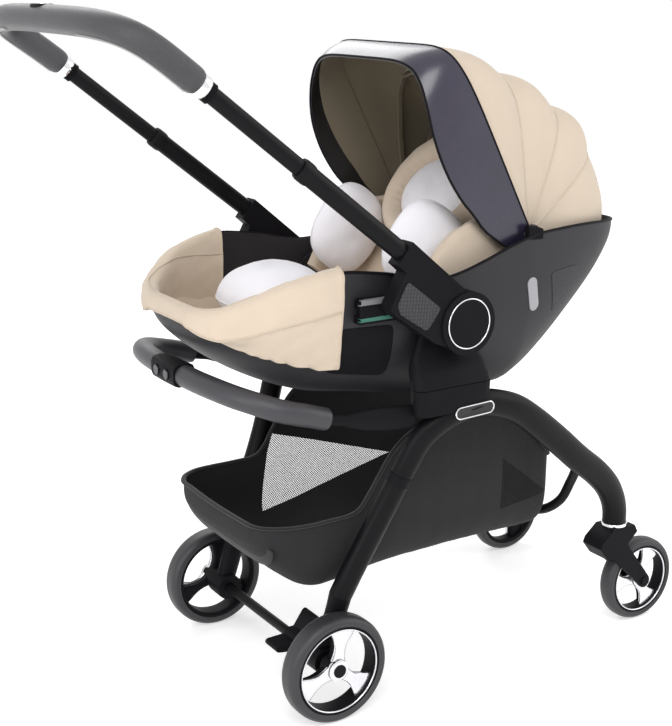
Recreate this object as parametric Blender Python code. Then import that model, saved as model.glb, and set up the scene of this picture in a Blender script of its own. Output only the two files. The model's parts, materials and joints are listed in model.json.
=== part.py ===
"""Travel pram: an infant seat with a telescopic handle and a folding canopy, on a four-wheel frame.

Metres, +Z up. +X is the way the pram travels, castors first; the pusher stands at -X.
+Y is the pram's left, and the pram is mirrored about Y = 0. The ground is Z = 0.
"""
import math

import bmesh
import bpy
import numpy as np
from mathutils import Matrix, Vector

# Clearances
GAP = 0.0003              # between pieces that touch
RUN = 0.001               # between pieces that turn or slide past each other

# Wheels and axles
REAR_AXLE_X = -0.1365     # from the drawing's datum, which MIDDLE_X moves to the middle
WHEELBASE = 0.6302
REAR_WHEEL_R = 0.0847
REAR_WHEEL_W = 0.036
REAR_WHEEL_Y = 0.1955     # middle of the tread
REAR_RIM_R = 0.0698
REAR_HUB_R = 0.017
FRONT_WHEEL_R = 0.0732
FRONT_WHEEL_W = 0.030
FRONT_WHEEL_Y = 0.1795
FRONT_RIM_R = 0.0604
FRONT_HUB_R = 0.0145
RIM_WALL = 0.007          # barrel wall of a rim
RIM_INSET = 0.003         # rim's face behind the tyre's face
SPOKE_W = 0.022
SPOKE_T = 0.012
AXLE_ROD_R = 0.008
AXLE_STUB_R = 0.006
AXLE_CAP_R = 0.0105
AXLE_CAP_T = 0.0025
BOLT_R = 0.005
BOLT_HEAD_R = 0.008
BOLT_HEAD_T = 0.0025

# Frame tubes, half sizes of their oval sections
REAR_LEG_A = 0.0185       # half depth, in side view
REAR_LEG_B = 0.0165       # half width, across the pram
CROWN_A = 0.0208
FRONT_LEG_A = 0.0226
FRONT_LEG_B = 0.0170
FOOT_BOSS_R = 0.0215
FOOT_BOSS_IN = 0.135      # inner face of the foot's boss, from the middle plane
FOOT_Y = 0.157

# Castors
CASTOR_TRAIL = 0.0579     # wheel centre ahead of the swivel
LEG_END_Z = 0.1905
COLLAR_H = 0.0055
COLLAR_R = 0.0225
FORK_HALF_W = 0.0225
FORK_SLOT_CLEAR = 0.0035
STEM_R = 0.0065

# Brake
PEDAL_Y = -0.088
PEDAL_W = 0.036
PEDAL_SLEEVE_R = 0.0155
PEDAL_REACH = 0.043

# Seat docks
DOCK_X = 0.0476
DOCK_Y = 0.2249
DOCK_Z = 0.505            # parting line of dock and seat post
DOCK_HALF_X = 0.0685
DOCK_HALF_Y = 0.0165

# Carry bar behind the seat
BAR_CORE_R = 0.009
BAR_GRIP_R = 0.0165
BAR_ARM_A = 0.0185
BAR_ARM_B = 0.0070
SWITCH_HALF = 0.037
SWITCH_R = 0.0180
BAR_BUTTON_R = 0.0075
BAR_BUTTON_Y = 0.0160
BAR_BUTTON_TRAVEL = 0.003

# Hub and handle
HUB_X = 0.0658
HUB_Z = 0.5970
HUB_DISC_R = 0.0470
HUB_FACE_Y = 0.2415
HUB_BUTTON_R = 0.0386
HUB_BUTTON_T = 0.0060
HUB_BUTTON_TRAVEL = 0.003
HANDLE_Y = 0.2251
HANDLE_PITCH = 38.2       # degrees, tube above the level
TUBE_OFFSET = 0.0214      # tube axis above the hub centre, square to the tube
ARM_INNER_Y = 0.2121
ARM_OUTER_Y = 0.2383
ARM_END = 0.1580          # along the tube from the hub
ARM_BORE_END = 0.0450
MID_START = 0.1350
MID_END = 0.3659
MID_A = 0.0140
MID_B = 0.0105
TUBE_WALL = 0.0019
TOP_START = 0.3300
GRIP_START = 0.5505
GRIP_R = 0.0185
GRIP_LEAD = 0.1031
GRIP_REACH = 0.1097
GRIP_RISE = 0.0740
GRIP_SHOULDER = 0.2669
GRIP_BUTTON_L = 0.030
GRIP_BUTTON_W = 0.016
GRIP_BUTTON_H = 0.0060
GRIP_BUTTON_TRAVEL = 0.002

# Seat shell
SHELL_WALL = 0.0050
SHELL_COLUMNS = 11        # points round each rib of the hull
SHELL_BOSS_R = 0.036
SHELL_BOSS_Y = 0.1966

# Canopy
CANOPY_X = 0.2350
CANOPY_Z = 0.7000
CANOPY_PIN_R = 0.0060
CANOPY_PIN_END = 0.1480
VISOR_Y = 0.1745          # middle of the visor's side plates
RIB_Y = 0.1605            # middle of the first rib's arms
RIB_PITCH = 0.0045        # from one layer of canopy arms to the next
RIB_T = 0.0030
RIB_W = 0.0080
RIB_EYE_R = 0.0105
EYE_PROUD = 0.0005        # eyes are thicker than their arms by this on each face
CLOTH_T = 0.0020
RIB_ANGLES = (97.0, 69.5, 40.0)
RIB_RADII = (0.2370, 0.1980, 0.1850)
VISOR_EYE_R = 0.0165

FRONT_AXLE_X = REAR_AXLE_X + WHEELBASE
SWIVEL_X = FRONT_AXLE_X - CASTOR_TRAIL
GRIP_BACK_X = -0.4632     # middle of the grip at its rearmost
MIDDLE_X = (FRONT_AXLE_X + FRONT_WHEEL_R + GRIP_BACK_X - GRIP_R) / 2
SIDES = (("right", -1), ("left", 1))


def at(x, y, z):
    """A point given from the drawing's datum, in the model's frame."""
    return Vector((x - MIDDLE_X, y, z))


# Materials

def material(name, colour, roughness, metallic=0.0):
    made = bpy.data.materials.new(name)
    made.use_nodes = True
    shader = made.node_tree.nodes["Principled BSDF"]
    shader.inputs["Base Color"].default_value = (*colour, 1.0)
    shader.inputs["Roughness"].default_value = roughness
    shader.inputs["Metallic"].default_value = metallic
    return made


def clear_scene():
    for item in list(bpy.data.objects):
        bpy.data.objects.remove(item, do_unlink=True)


# Mesh tools

def make(name, verts, faces, mat, smooth=35.0):
    mesh = bpy.data.meshes.new(name)
    mesh.from_pydata([tuple(v) for v in verts], [], faces)
    shape = bmesh.new()
    shape.from_mesh(mesh)
    bmesh.ops.recalc_face_normals(shape, faces=shape.faces)
    shape.to_mesh(mesh)
    shape.free()
    mesh.shade_smooth()
    mesh.set_sharp_from_angle(angle=math.radians(smooth))
    mesh.materials.append(mat)
    made = bpy.data.objects.new(name, mesh)
    bpy.context.scene.collection.objects.link(made)
    return made


def combine(target, tool, operation):
    """Cut or join one solid with another, which stays hidden."""
    tool.hide_render = True
    tool.display_type = "WIRE"
    step = target.modifiers.new(operation.lower(), "BOOLEAN")
    step.operation = operation
    step.solver = "EXACT"
    step.object = tool
    return target


def smooth_path(points, count):
    """A Catmull-Rom curve through the points, sampled evenly by length."""
    pts = np.array([tuple(p) for p in points], float)
    ends = np.vstack([2 * pts[0] - pts[1], pts, 2 * pts[-1] - pts[-2]])
    fine = []
    for i in range(1, len(ends) - 2):
        a, b, c, d = ends[i - 1:i + 3]
        t = np.linspace(0, 1, 24, endpoint=False)[:, None]
        fine.append(0.5 * (2 * b + (c - a) * t + (2 * a - 5 * b + 4 * c - d) * t ** 2
                           + (3 * b - a - 3 * c + d) * t ** 3))
    fine = np.vstack(fine + [ends[-2:-1]])
    run = np.concatenate([[0], np.cumsum(np.linalg.norm(np.diff(fine, axis=0), axis=1))])
    want = np.linspace(0, run[-1], count)
    return np.stack([np.interp(want, run, fine[:, k]) for k in range(3)], axis=1)


def frames(path, side=(0, 1, 0)):
    """Tangent, up and side vectors along a path; side stays near the given direction."""
    tangent = np.gradient(path, axis=0)
    tangent /= np.linalg.norm(tangent, axis=1)[:, None]
    across = np.array(side, float) - (tangent @ np.array(side, float))[:, None] * tangent
    across /= np.linalg.norm(across, axis=1)[:, None]
    return tangent, np.cross(across, tangent), across


def oval(a, b, count=10):
    turn = np.linspace(0, 2 * math.pi, count, endpoint=False)
    return np.stack([a * np.cos(turn), b * np.sin(turn)], axis=1)


def rounded(a, b, r, steps=3):
    """A rectangle of half sizes a and b with corners of radius r."""
    r = min(r, a * 0.98, b * 0.98)
    points = []
    for k, (sx, sy) in enumerate(((1, 1), (-1, 1), (-1, -1), (1, -1))):
        for turn in np.linspace(k * math.pi / 2, (k + 1) * math.pi / 2, steps + 1):
            points.append((sx * (a - r) + r * math.cos(turn), sy * (b - r) + r * math.sin(turn)))
    return np.array(points)


def loft(name, rings, mat, closed=False, smooth=35.0):
    """Skin a list of rings of points, capped at both ends, or joined in a loop."""
    count = len(rings[0])
    verts = [p for ring in rings for p in ring]
    faces = []
    rounds = len(rings) if closed else len(rings) - 1
    for i in range(rounds):
        a = i * count
        b = ((i + 1) % len(rings)) * count
        for k in range(count):
            n = (k + 1) % count
            faces.append((a + k, a + n, b + n, b + k))
    if not closed:
        faces.append(tuple(range(count)))
        faces.append(tuple(range((len(rings) - 1) * count, len(rings) * count)))
    return make(name, verts, faces, mat, smooth)


def section_rings(path, sections, side=(0, 1, 0)):
    _, up, across = frames(path, side)
    return [path[i] + sections[i][:, :1] * up[i] + sections[i][:, 1:] * across[i]
            for i in range(len(path))]


def sweep(name, path, sections, mat, side=(0, 1, 0), closed=False):
    """Carry a section, or a list of one for each point, along a path."""
    if not isinstance(sections, list):
        sections = [sections] * len(path)
    return loft(name, section_rings(path, sections, side), mat, closed)


def turned(name, profile, centre, mat, axis="Y", count=24, closed=True):
    """Turn a profile of (radius, height) points about an axis through the centre."""
    turn = np.linspace(0, 2 * math.pi, count, endpoint=False)
    verts = []
    for r, h in profile:
        for t in turn:
            u, v = r * math.cos(t), r * math.sin(t)
            verts.append(centre + (Vector((u, h, v)) if axis == "Y" else Vector((u, v, h))))
    faces = []
    rows = len(profile)
    for i in range(rows if closed else rows - 1):
        j = (i + 1) % rows
        for k in range(count):
            n = (k + 1) % count
            faces.append((i * count + k, i * count + n, j * count + n, j * count + k))
    if not closed:
        faces.append(tuple(range(count)))
        faces.append(tuple(range((rows - 1) * count, rows * count)))
    return make(name, verts, faces, mat)


def disc(name, centre, r, low, high, mat, axis="Y", count=20):
    """A plain cylinder from low to high along the axis."""
    return turned(name, [(r, low), (r, high)], centre, mat, axis, count, closed=False)


def prism(name, outline, y_low, y_high, mat):
    """Extrude an outline of (x, z) points across the pram."""
    count = len(outline)
    verts = [(x - MIDDLE_X, y, z) for y in (y_low, y_high) for x, z in outline]
    faces = [tuple(range(count)), tuple(range(count, 2 * count))]
    for k in range(count):
        n = (k + 1) % count
        faces.append((k, n, count + n, count + k))
    return make(name, verts, faces, mat)


def arc(cx, cz, r, start, end, steps):
    turn = np.radians(np.linspace(start, end, steps + 1))
    return [(cx + r * math.cos(t), cz + r * math.sin(t)) for t in turn]


def tub(name, outer, inner, mat, open_start=False):
    """A boat-shaped vessel: two skins of U-shaped ribs, with end walls, joined round the rim."""
    rows, cols = len(outer), len(outer[0])
    verts = [p for ring in outer for p in ring] + [p for ring in inner for p in ring]
    shift = rows * cols
    faces = []
    for base in (0, shift):
        for i in range(rows - 1):
            for k in range(cols - 1):
                a = base + i * cols + k
                faces.append((a, a + 1, a + cols + 1, a + cols))
        if not open_start:
            faces.append(tuple(base + k for k in range(cols)))
        faces.append(tuple(base + (rows - 1) * cols + k for k in range(cols)))
    for i in range(rows - 1):
        for k in (0, cols - 1):
            a, b = i * cols + k, (i + 1) * cols + k
            faces.append((a, b, b + shift, a + shift))
    last = (rows - 1) * cols
    faces.append((last, last + cols - 1, last + cols - 1 + shift, last + shift))
    if open_start:
        for k in range(cols - 1):
            faces.append((k, k + 1, k + 1 + shift, k + shift))
    else:
        faces.append((0, cols - 1, cols - 1 + shift, shift))
    return make(name, verts, faces, mat)


def hull_rib(x, half, rim, bottom, power, count, top=None):
    """A U-shaped rib of a hull at station x, from the right rim, or a level top, round to the left."""
    start = 0.0 if top is None else math.asin(((rim - top) / (rim - bottom)) ** (power / 2))
    turn = np.linspace(math.pi - start, start, count)
    c, s = np.cos(turn), np.sin(turn)
    y = half * np.sign(c) * np.abs(c) ** (2 / power)
    z = rim - (rim - bottom) * s ** (2 / power)
    return [at(x, yy, zz) for yy, zz in zip(y, z)]


def pillow(name, centre, along, across, size, mat, pinch=0.06, power=3.0, turns=24, rings=5):
    """A stuffed pad: a rounded outline with drawn-in sides, crowned on both faces."""
    u = Vector(along).normalized()
    v = (Vector(across) - u * u.dot(Vector(across))).normalized()
    w = u.cross(v)
    half_u, half_v, half_w = size
    turn = np.linspace(0, 2 * math.pi, turns, endpoint=False)
    c, s = np.cos(turn), np.sin(turn)
    reach = (np.abs(c) ** power + np.abs(s) ** power) ** (-1 / power)
    reach *= 1 - pinch * np.abs(np.cos(2 * turn))
    levels = np.sin(np.linspace(math.pi / 2, 0, rings + 1))[:-1]
    verts, faces = [], []

    def ring(level, height):
        verts.extend(centre + u * (half_u * level * r * cc) + v * (half_v * level * r * ss)
                     + w * height for r, cc, ss in zip(reach, c, s))

    ring(levels[0], 0.0)
    for sign in (1, -1):
        start = len(verts)
        for level in levels[1:]:
            ring(level, sign * half_w * (1 - level ** 2.4) ** 0.62)
        verts.append(centre + w * sign * half_w)
        rows = [0] + [start + i * turns for i in range(rings - 1)]
        for a, b in zip(rows, rows[1:]):
            for k in range(turns):
                n = (k + 1) % turns
                faces.append((a + k, a + n, b + n, b + k))
        for k in range(turns):
            faces.append((rows[-1] + k, rows[-1] + (k + 1) % turns, len(verts) - 1))
    return make(name, verts, faces, mat, smooth=80)


def empty(name, place):
    made = bpy.data.objects.new(name, None)
    made.empty_display_size = 0.03
    made.location = place
    bpy.context.scene.collection.objects.link(made)
    return made


def carry(parent, *pieces):
    """Parent pieces to the empty on their joint, leaving them where they are."""
    for piece in pieces:
        piece.parent = parent
        piece.matrix_parent_inverse = Matrix.Translation(-parent.location)


# Frame

# Middle line of one side's arch, from the foot's joint up over the crown to the castor: x, y, z
ARCH = (
    (-0.1075, 0.1668, 0.1830),
    (-0.0905, 0.1735, 0.2220),
    (-0.0700, 0.1800, 0.2640),
    (-0.0500, 0.1870, 0.3050),
    (-0.0320, 0.1950, 0.3450),
    (-0.0150, 0.2053, 0.3870),
    (0.0030, 0.2150, 0.4250),
    (0.0300, 0.2225, 0.4495),
    (0.0680, 0.2249, 0.4635),
    (0.1050, 0.2249, 0.4670),
    (0.1420, 0.2240, 0.4590),
    (0.1760, 0.2225, 0.4450),
    (0.2150, 0.2180, 0.4188),
    (0.2745, 0.2090, 0.3728),
    (0.3256, 0.2010, 0.3308),
    (0.3720, 0.1935, 0.2960),
    (0.4048, 0.1875, 0.2656),
    (0.4248, 0.1830, 0.2368),
    (0.4343, 0.1800, 0.2120),
    (0.4358, 0.1795, LEG_END_Z),
)
ARCH_SAMPLES = 28
SEAM_SAMPLE = 7           # where the arch parts into rear leg and front leg
FOLD_X = 0.0030           # fold axis, on the parting line's front edge
FOLD_Z = 0.3790


def arch_path(side):
    """Smooth line of one side; the run down from the crown follows the castor's place."""
    crown_x, end_x = ARCH[9][0], ARCH[16][0]
    points = []
    for x, y, z in ARCH:
        share = min(1.0, max(0.0, (x - crown_x) / (end_x - crown_x)))
        moved_x = x + (SWIVEL_X - ARCH[-1][0]) * share
        moved_y = y + (FRONT_WHEEL_Y - ARCH[-1][1]) * share
        points.append(at(moved_x, side * moved_y, z))
    return smooth_path(points, ARCH_SAMPLES)


def arch_sections(extra=0.0):
    where = np.linspace(0, 1, ARCH_SAMPLES)
    a = np.interp(where, [0, 0.25, 0.45, 0.65, 1], [REAR_LEG_A, REAR_LEG_A, CROWN_A, FRONT_LEG_A, FRONT_LEG_A])
    b = np.interp(where, [0, 0.25, 0.45, 1], [REAR_LEG_B, REAR_LEG_B, FRONT_LEG_B, FRONT_LEG_B])
    return [oval(p + extra, q + extra) for p, q in zip(a, b)]


def build_arch(word, side, mat):
    """The arch of one side, in two pieces that meet at the fold's parting line."""
    path = arch_path(side)
    rings = section_rings(path, arch_sections())
    for point in rings[-1]:
        point[2] = LEG_END_Z
    front_leg = loft(f"front_leg_{word}", rings[SEAM_SAMPLE:], mat)
    back = path[SEAM_SAMPLE] - path[SEAM_SAMPLE - 1]
    parted = rings[:SEAM_SAMPLE] + [rings[SEAM_SAMPLE] - back / np.linalg.norm(back) * GAP]
    return front_leg, loft(f"rear_leg_{word}", parted, mat)


def build_foot(word, side, mat):
    """Casting from the rear leg down to the axle."""
    path = arch_path(side)
    section = arch_sections()
    down = path[0] - path[1]
    down /= np.linalg.norm(down)
    top = section_rings(path, section)[0] + down * GAP
    line = smooth_path([
        at(REAR_AXLE_X, side * FOOT_Y, REAR_WHEEL_R),
        at(-0.1260, side * 0.1575, 0.1150),
        at(-0.1130, side * 0.1615, 0.1520),
        Vector(path[0]),
    ], 7)
    wide = np.linspace(0.0165, REAR_LEG_A, 7)
    deep = np.linspace(0.0125, REAR_LEG_B - 0.0015, 7)
    rings = section_rings(line, [oval(p, q) for p, q in zip(wide, deep)])
    rings[-1] = top
    foot = loft(f"axle_foot_{word}", rings, mat)
    axle = at(REAR_AXLE_X, 0, REAR_WHEEL_R)
    outer = REAR_WHEEL_Y - REAR_WHEEL_W / 2 - 2 * RUN
    ends = sorted((side * FOOT_BOSS_IN, side * outer))
    combine(foot, disc(f"foot_boss_{word}_tool", axle, FOOT_BOSS_R, *ends, mat, count=16), "UNION")
    bore = disc(f"foot_bore_{word}_tool", axle, AXLE_ROD_R + GAP, -0.3 * side, 0.3 * side, mat, count=20)
    return combine(foot, bore, "DIFFERENCE")


def build_axle(mat):
    """Cross rod with a thinner stub and a cap at each end."""
    shoulder = REAR_WHEEL_Y - REAR_WHEEL_W / 2 - RUN
    face = REAR_WHEEL_Y + REAR_WHEEL_W / 2 - RIM_INSET + GAP
    half = [(AXLE_ROD_R, 0.0), (AXLE_ROD_R, shoulder), (AXLE_STUB_R, shoulder), (AXLE_STUB_R, face),
            (AXLE_CAP_R, face), (AXLE_CAP_R, face + AXLE_CAP_T)]
    profile = [(r, -h) for r, h in half[:0:-1]] + half[1:]
    return turned("rear_axle", profile, at(REAR_AXLE_X, 0, REAR_WHEEL_R), mat, count=16, closed=False)


def build_wheel(kind, word, centre, radius, width, rim_r, hub_r, bore_r, turn, mats):
    """A tyre with a crowned tread, and a three-spoke rim with a bore."""
    tyre_mat, rim_mat = mats
    h = width / 2
    shoulder = 0.006
    flat = 0.45 * h
    tyre = turned(f"{kind}_tyre_{word}", [
        (rim_r + GAP, -h + 0.001), (radius - shoulder, -h), (radius - 0.0015, -h + 0.0045), (radius, -flat),
        (radius, flat), (radius - 0.0015, h - 0.0045), (radius - shoulder, h), (rim_r + GAP, h - 0.001),
    ], centre, tyre_mat)
    face = h - RIM_INSET
    barrel = rim_r - RIM_WALL
    rim = turned(f"{kind}_rim_{word}", [
        (rim_r, -face), (rim_r, face), (barrel, face), (barrel, SPOKE_T / 2), (hub_r, SPOKE_T / 2),
        (hub_r, face), (bore_r, face), (bore_r, -face), (hub_r, -face), (hub_r, -SPOKE_T / 2),
        (barrel, -SPOKE_T / 2), (barrel, -face),
    ], centre, rim_mat)
    x, z = centre.x + MIDDLE_X, centre.z
    half_spoke = SPOKE_W / 2
    for k in range(3):
        mid = turn + 60 + 120 * k
        inner, outer = hub_r + 0.003, barrel - 0.003
        lean_in = math.degrees(math.asin(min(0.99, half_spoke / inner)))
        lean_out = math.degrees(math.asin(half_spoke / outer))
        window = (arc(x, z, outer, mid - 60 + lean_out, mid + 60 - lean_out, 3)
                  + arc(x, z, inner, mid + max(4, 60 - lean_in), mid - max(4, 60 - lean_in), 1))
        tool = prism(f"{kind}_window_{word}_{k}_tool", window, centre.y - h, centre.y + h, rim_mat)
        combine(rim, tool, "DIFFERENCE")
    return tyre, rim


def build_castor(word, side, mats):
    """Collar under the leg, and the fork that swivels below it with the wheel's bolt."""
    metal, plastic = mats
    y = side * FRONT_WHEEL_Y
    pivot = at(SWIVEL_X, y, 0)
    low = LEG_END_Z - GAP - COLLAR_H
    collar = turned(f"leg_collar_{word}", [
        (STEM_R + GAP, low), (COLLAR_R, low), (COLLAR_R, low + COLLAR_H), (STEM_R + GAP, low + COLLAR_H),
    ], pivot, metal, axis="Z", count=20)
    top = low - GAP
    x, z = FRONT_AXLE_X, FRONT_WHEEL_R
    outline = [
        (SWIVEL_X + 0.0270, top), (SWIVEL_X - 0.0200, top), (SWIVEL_X - 0.0440, top - 0.0200),
        (SWIVEL_X - 0.0480, top - 0.0300), (SWIVEL_X - 0.0310, top - 0.0520), (SWIVEL_X - 0.0150, top - 0.0545),
    ]
    outline += arc(x, z, 0.0120, 215, 395, 6)
    outline += [(SWIVEL_X + 0.0130, top - 0.0330), (SWIVEL_X + 0.0340, top - 0.0130)]
    fork = prism(f"castor_fork_{word}", outline, y - FORK_HALF_W, y + FORK_HALF_W, plastic)
    centre = at(x, y, z)
    space_r = FRONT_WHEEL_R + FORK_SLOT_CLEAR
    half_slot = FRONT_WHEEL_W / 2 + RUN
    combine(fork, disc(f"fork_slot_{word}_tool", centre, space_r, -half_slot, half_slot, plastic), "DIFFERENCE")
    half_bolt = FORK_HALF_W + BOLT_HEAD_T
    bolt = turned(f"fork_bolt_{word}_tool", [
        (BOLT_HEAD_R, -half_bolt), (BOLT_HEAD_R, -FORK_HALF_W + RUN), (BOLT_R, -FORK_HALF_W + RUN),
        (BOLT_R, FORK_HALF_W - RUN), (BOLT_HEAD_R, FORK_HALF_W - RUN), (BOLT_HEAD_R, half_bolt),
    ], centre, plastic, count=12, closed=False)
    combine(fork, bolt, "UNION")
    stem = disc(f"fork_stem_{word}_tool", pivot, STEM_R, top - 0.010, LEG_END_Z - 2 * GAP, plastic, "Z", 18)
    return collar, combine(fork, stem, "UNION")


def build_brake(mat):
    """Rocking pedal on the axle: one lobe steps the brake on, the other steps it off."""
    centre = at(REAR_AXLE_X, PEDAL_Y, REAR_WHEEL_R)
    half = PEDAL_W / 2
    x, z = REAR_AXLE_X, REAR_WHEEL_R
    r = PEDAL_SLEEVE_R
    lobe = 0.0050
    outline = arc(x, z, r, 78, 155, 4)
    outline += arc(x - PEDAL_REACH, z + 0.001, lobe, 90, 270, 4)
    outline += arc(x, z, r, 215, 400, 8)
    tip = math.radians(56)
    tip_x, tip_z = x + PEDAL_REACH * math.cos(tip), z + PEDAL_REACH * math.sin(tip)
    outline += arc(tip_x, tip_z, lobe, -34, 146, 4)
    pedal = prism("brake_pedal", outline, PEDAL_Y - half, PEDAL_Y + half, mat)
    bore = disc("brake_bore_tool", centre, AXLE_ROD_R + GAP, -0.05, 0.05, mat, count=20)
    return combine(pedal, bore, "DIFFERENCE")


def dock_ring(z, half_x, y_low, y_high, side, lean=0.0):
    """A level rounded rectangle of a dock or seat post, from inner to outer face."""
    half_y = (y_high - y_low) / 2
    mid = side * (y_high + y_low) / 2
    shape = rounded(half_x, half_y, 0.9 * half_y)
    return [at(DOCK_X + lean + u, mid + v, z) for u, v in shape]


def build_dock(word, side, mat):
    """Socket on the crown of the arch that the seat post drops on."""
    inner, outer = DOCK_Y - DOCK_HALF_Y, DOCK_Y + DOCK_HALF_Y
    top = DOCK_Z - GAP
    rings = [
        dock_ring(0.4655, DOCK_HALF_X - 0.0040, inner, outer, side),
        dock_ring(0.4800, DOCK_HALF_X - 0.0010, inner, outer, side),
        dock_ring(top, DOCK_HALF_X, inner, outer, side),
    ]
    dock = loft(f"seat_dock_{word}", rings, mat)
    tool = loft(f"arch_space_{word}_tool", section_rings(arch_path(side), arch_sections(GAP)), mat)
    return combine(dock, tool, "DIFFERENCE")


def build_post(word, side, mat):
    """Blade on the seat's side that stands on the dock and carries the hub."""
    rings = [
        dock_ring(DOCK_Z, DOCK_HALF_X, DOCK_Y - DOCK_HALF_Y, DOCK_Y + DOCK_HALF_Y, side),
        dock_ring(DOCK_Z + 0.012, DOCK_HALF_X - 0.001, 0.2050, 0.2370, side),
        dock_ring(DOCK_Z + 0.028, DOCK_HALF_X - 0.004, 0.2005, 0.2250, side),
        dock_ring(DOCK_Z + 0.042, DOCK_HALF_X - 0.010, 0.1974, 0.2116, side, 0.002),
        dock_ring(HUB_Z - 0.010, DOCK_HALF_X - 0.018, 0.1971, 0.2116, side, 0.008),
        dock_ring(HUB_Z + 0.020, DOCK_HALF_X - 0.028, 0.1971, 0.2116, side, 0.014),
        dock_ring(HUB_Z + 0.036, DOCK_HALF_X - 0.045, 0.1976, 0.2112, side, 0.016),
    ]
    return loft(f"seat_post_{word}", rings, mat)


# Carry bar: x, y, z of its middle line from the right dock to the middle
BAR = (
    (-0.0120, 0.2140, 0.4625),
    (-0.0850, 0.2115, 0.4690),
    (-0.1480, 0.2095, 0.4796),
    (-0.1900, 0.2085, 0.4925),
    (-0.2143, 0.2045, 0.4993),
    (-0.2360, 0.1950, 0.5060),
    (-0.2560, 0.1760, 0.5130),
    (-0.2720, 0.1500, 0.5180),
    (-0.2830, 0.1160, 0.5215),
    (-0.2890, 0.0800, 0.5230),
    (-0.2925, 0.0400, 0.5240),
    (-0.2936, 0.0000, 0.5240),
)
BAR_SAMPLES = 31
BAR_FOAM_START = 5        # sample where the foam begins


def bar_path():
    """The bar's middle line, with a sample moved onto each end of the switch box."""
    right = [at(x, -y, z) for x, y, z in BAR]
    left = [at(x, y, z) for x, y, z in BAR[-2::-1]]
    path = smooth_path(right + left, BAR_SAMPLES)
    fine = smooth_path(right + left, 1201)
    for side in (-1, 1):
        near = int(np.argmin(np.abs(path[:, 1] - side * SWITCH_HALF)))
        path[near] = fine[int(np.argmin(np.abs(fine[:, 1] - side * SWITCH_HALF)))]
    return path


def build_carry_bar(mats):
    """The bar, its two foam grips, and the switch box between them with two buttons."""
    plastic, foam, button_mat = mats
    path = bar_path()
    share = np.clip(np.minimum(np.arange(BAR_SAMPLES), np.arange(BAR_SAMPLES)[::-1])
                    / (BAR_FOAM_START - 1), 0, 1)
    blend = share ** 3
    sections = []
    for s in blend:
        a = BAR_ARM_A + (BAR_CORE_R - BAR_ARM_A) * s
        b = BAR_ARM_B + (BAR_CORE_R - BAR_ARM_B) * s
        sections.append(oval(a, b, 8))
    across = bar_across(path)
    core = loft("carry_bar", bar_rings(path, sections, across), plastic)
    for word, sign in SIDES:
        tool = loft(f"dock_space_{word}_tool", [
            dock_ring(0.40, DOCK_HALF_X + GAP, DOCK_Y - DOCK_HALF_Y - GAP, DOCK_Y + DOCK_HALF_Y + GAP, sign),
            dock_ring(0.56, DOCK_HALF_X + GAP, DOCK_Y - DOCK_HALF_Y - GAP, DOCK_Y + DOCK_HALF_Y + GAP, sign),
        ], plastic)
        combine(core, tool, "DIFFERENCE")
    middle = BAR_SAMPLES // 2
    reach = int(np.argmin(np.abs(path[:middle, 1] + SWITCH_HALF)))
    pieces = [core]
    for word, piece in (("right", slice(BAR_FOAM_START, reach + 1)),
                        ("left", slice(BAR_SAMPLES - 1 - reach, BAR_SAMPLES - BAR_FOAM_START))):
        run = slice(piece.start, piece.stop)
        out = bar_rings(path, [oval(BAR_GRIP_R, BAR_GRIP_R, 10)] * BAR_SAMPLES, across)[run]
        hole = bar_rings(path, [oval(BAR_CORE_R + 3 * GAP, BAR_CORE_R + 3 * GAP, 10)] * BAR_SAMPLES, across)[run]
        pieces.append(loft(f"bar_grip_{word}", out + hole[::-1], foam, closed=True))
    run = slice(reach, BAR_SAMPLES - reach)
    tangent = np.gradient(path, axis=0)
    out = bar_rings(path, [rounded(SWITCH_R - 0.001, SWITCH_R, 0.009, 2)] * BAR_SAMPLES, across)[run]
    hole = bar_rings(path, [rounded(BAR_CORE_R + 2 * GAP, BAR_CORE_R + 2 * GAP, 0.0085, 2)] * BAR_SAMPLES, across)[run]
    for ring, sign, where in ((out, 1, 0), (hole, 1, 0), (out, -1, -1), (hole, -1, -1)):
        t = tangent[run][where] / np.linalg.norm(tangent[run][where])
        ring[where] = ring[where] + sign * t * GAP
    box = loft("bar_switch_box", out + hole[::-1], plastic, closed=True)
    face_x = float(path[middle, 0]) + MIDDLE_X - SWITCH_R
    buttons = []
    for word, sign in SIDES:
        centre = Vector((face_x - MIDDLE_X, sign * BAR_BUTTON_Y, float(path[middle, 2])))
        pocket = along_x(f"bar_pocket_{word}_tool", centre, BAR_BUTTON_R + GAP, -0.010, 0.0070, button_mat)
        combine(box, pocket, "DIFFERENCE")
        button = along_x(f"bar_button_{word}", centre, BAR_BUTTON_R, -0.0022, 0.0035, button_mat)
        buttons.append(button)
    return pieces + [box], buttons


def bar_across(path):
    """Level vectors square to the bar in plan."""
    tangent = np.gradient(path, axis=0)
    across = np.stack([-tangent[:, 1], tangent[:, 0], 0 * tangent[:, 0]], axis=1)
    return across / np.linalg.norm(across, axis=1)[:, None]


def bar_rings(path, sections, across):
    tangent = np.gradient(path, axis=0)
    tangent /= np.linalg.norm(tangent, axis=1)[:, None]
    up = np.cross(tangent, across)
    return [path[i] + sections[i][:, :1] * up[i] + sections[i][:, 1:] * across[i] for i in range(len(path))]


def along_x(name, centre, r, low, high, mat, count=16):
    """A cylinder along X from low to high beside the centre."""
    turn = np.linspace(0, 2 * math.pi, count, endpoint=False)
    rings = [[centre + Vector((h, r * math.cos(t), r * math.sin(t))) for t in turn] for h in (low, high)]
    return loft(name, rings, mat)


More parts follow.
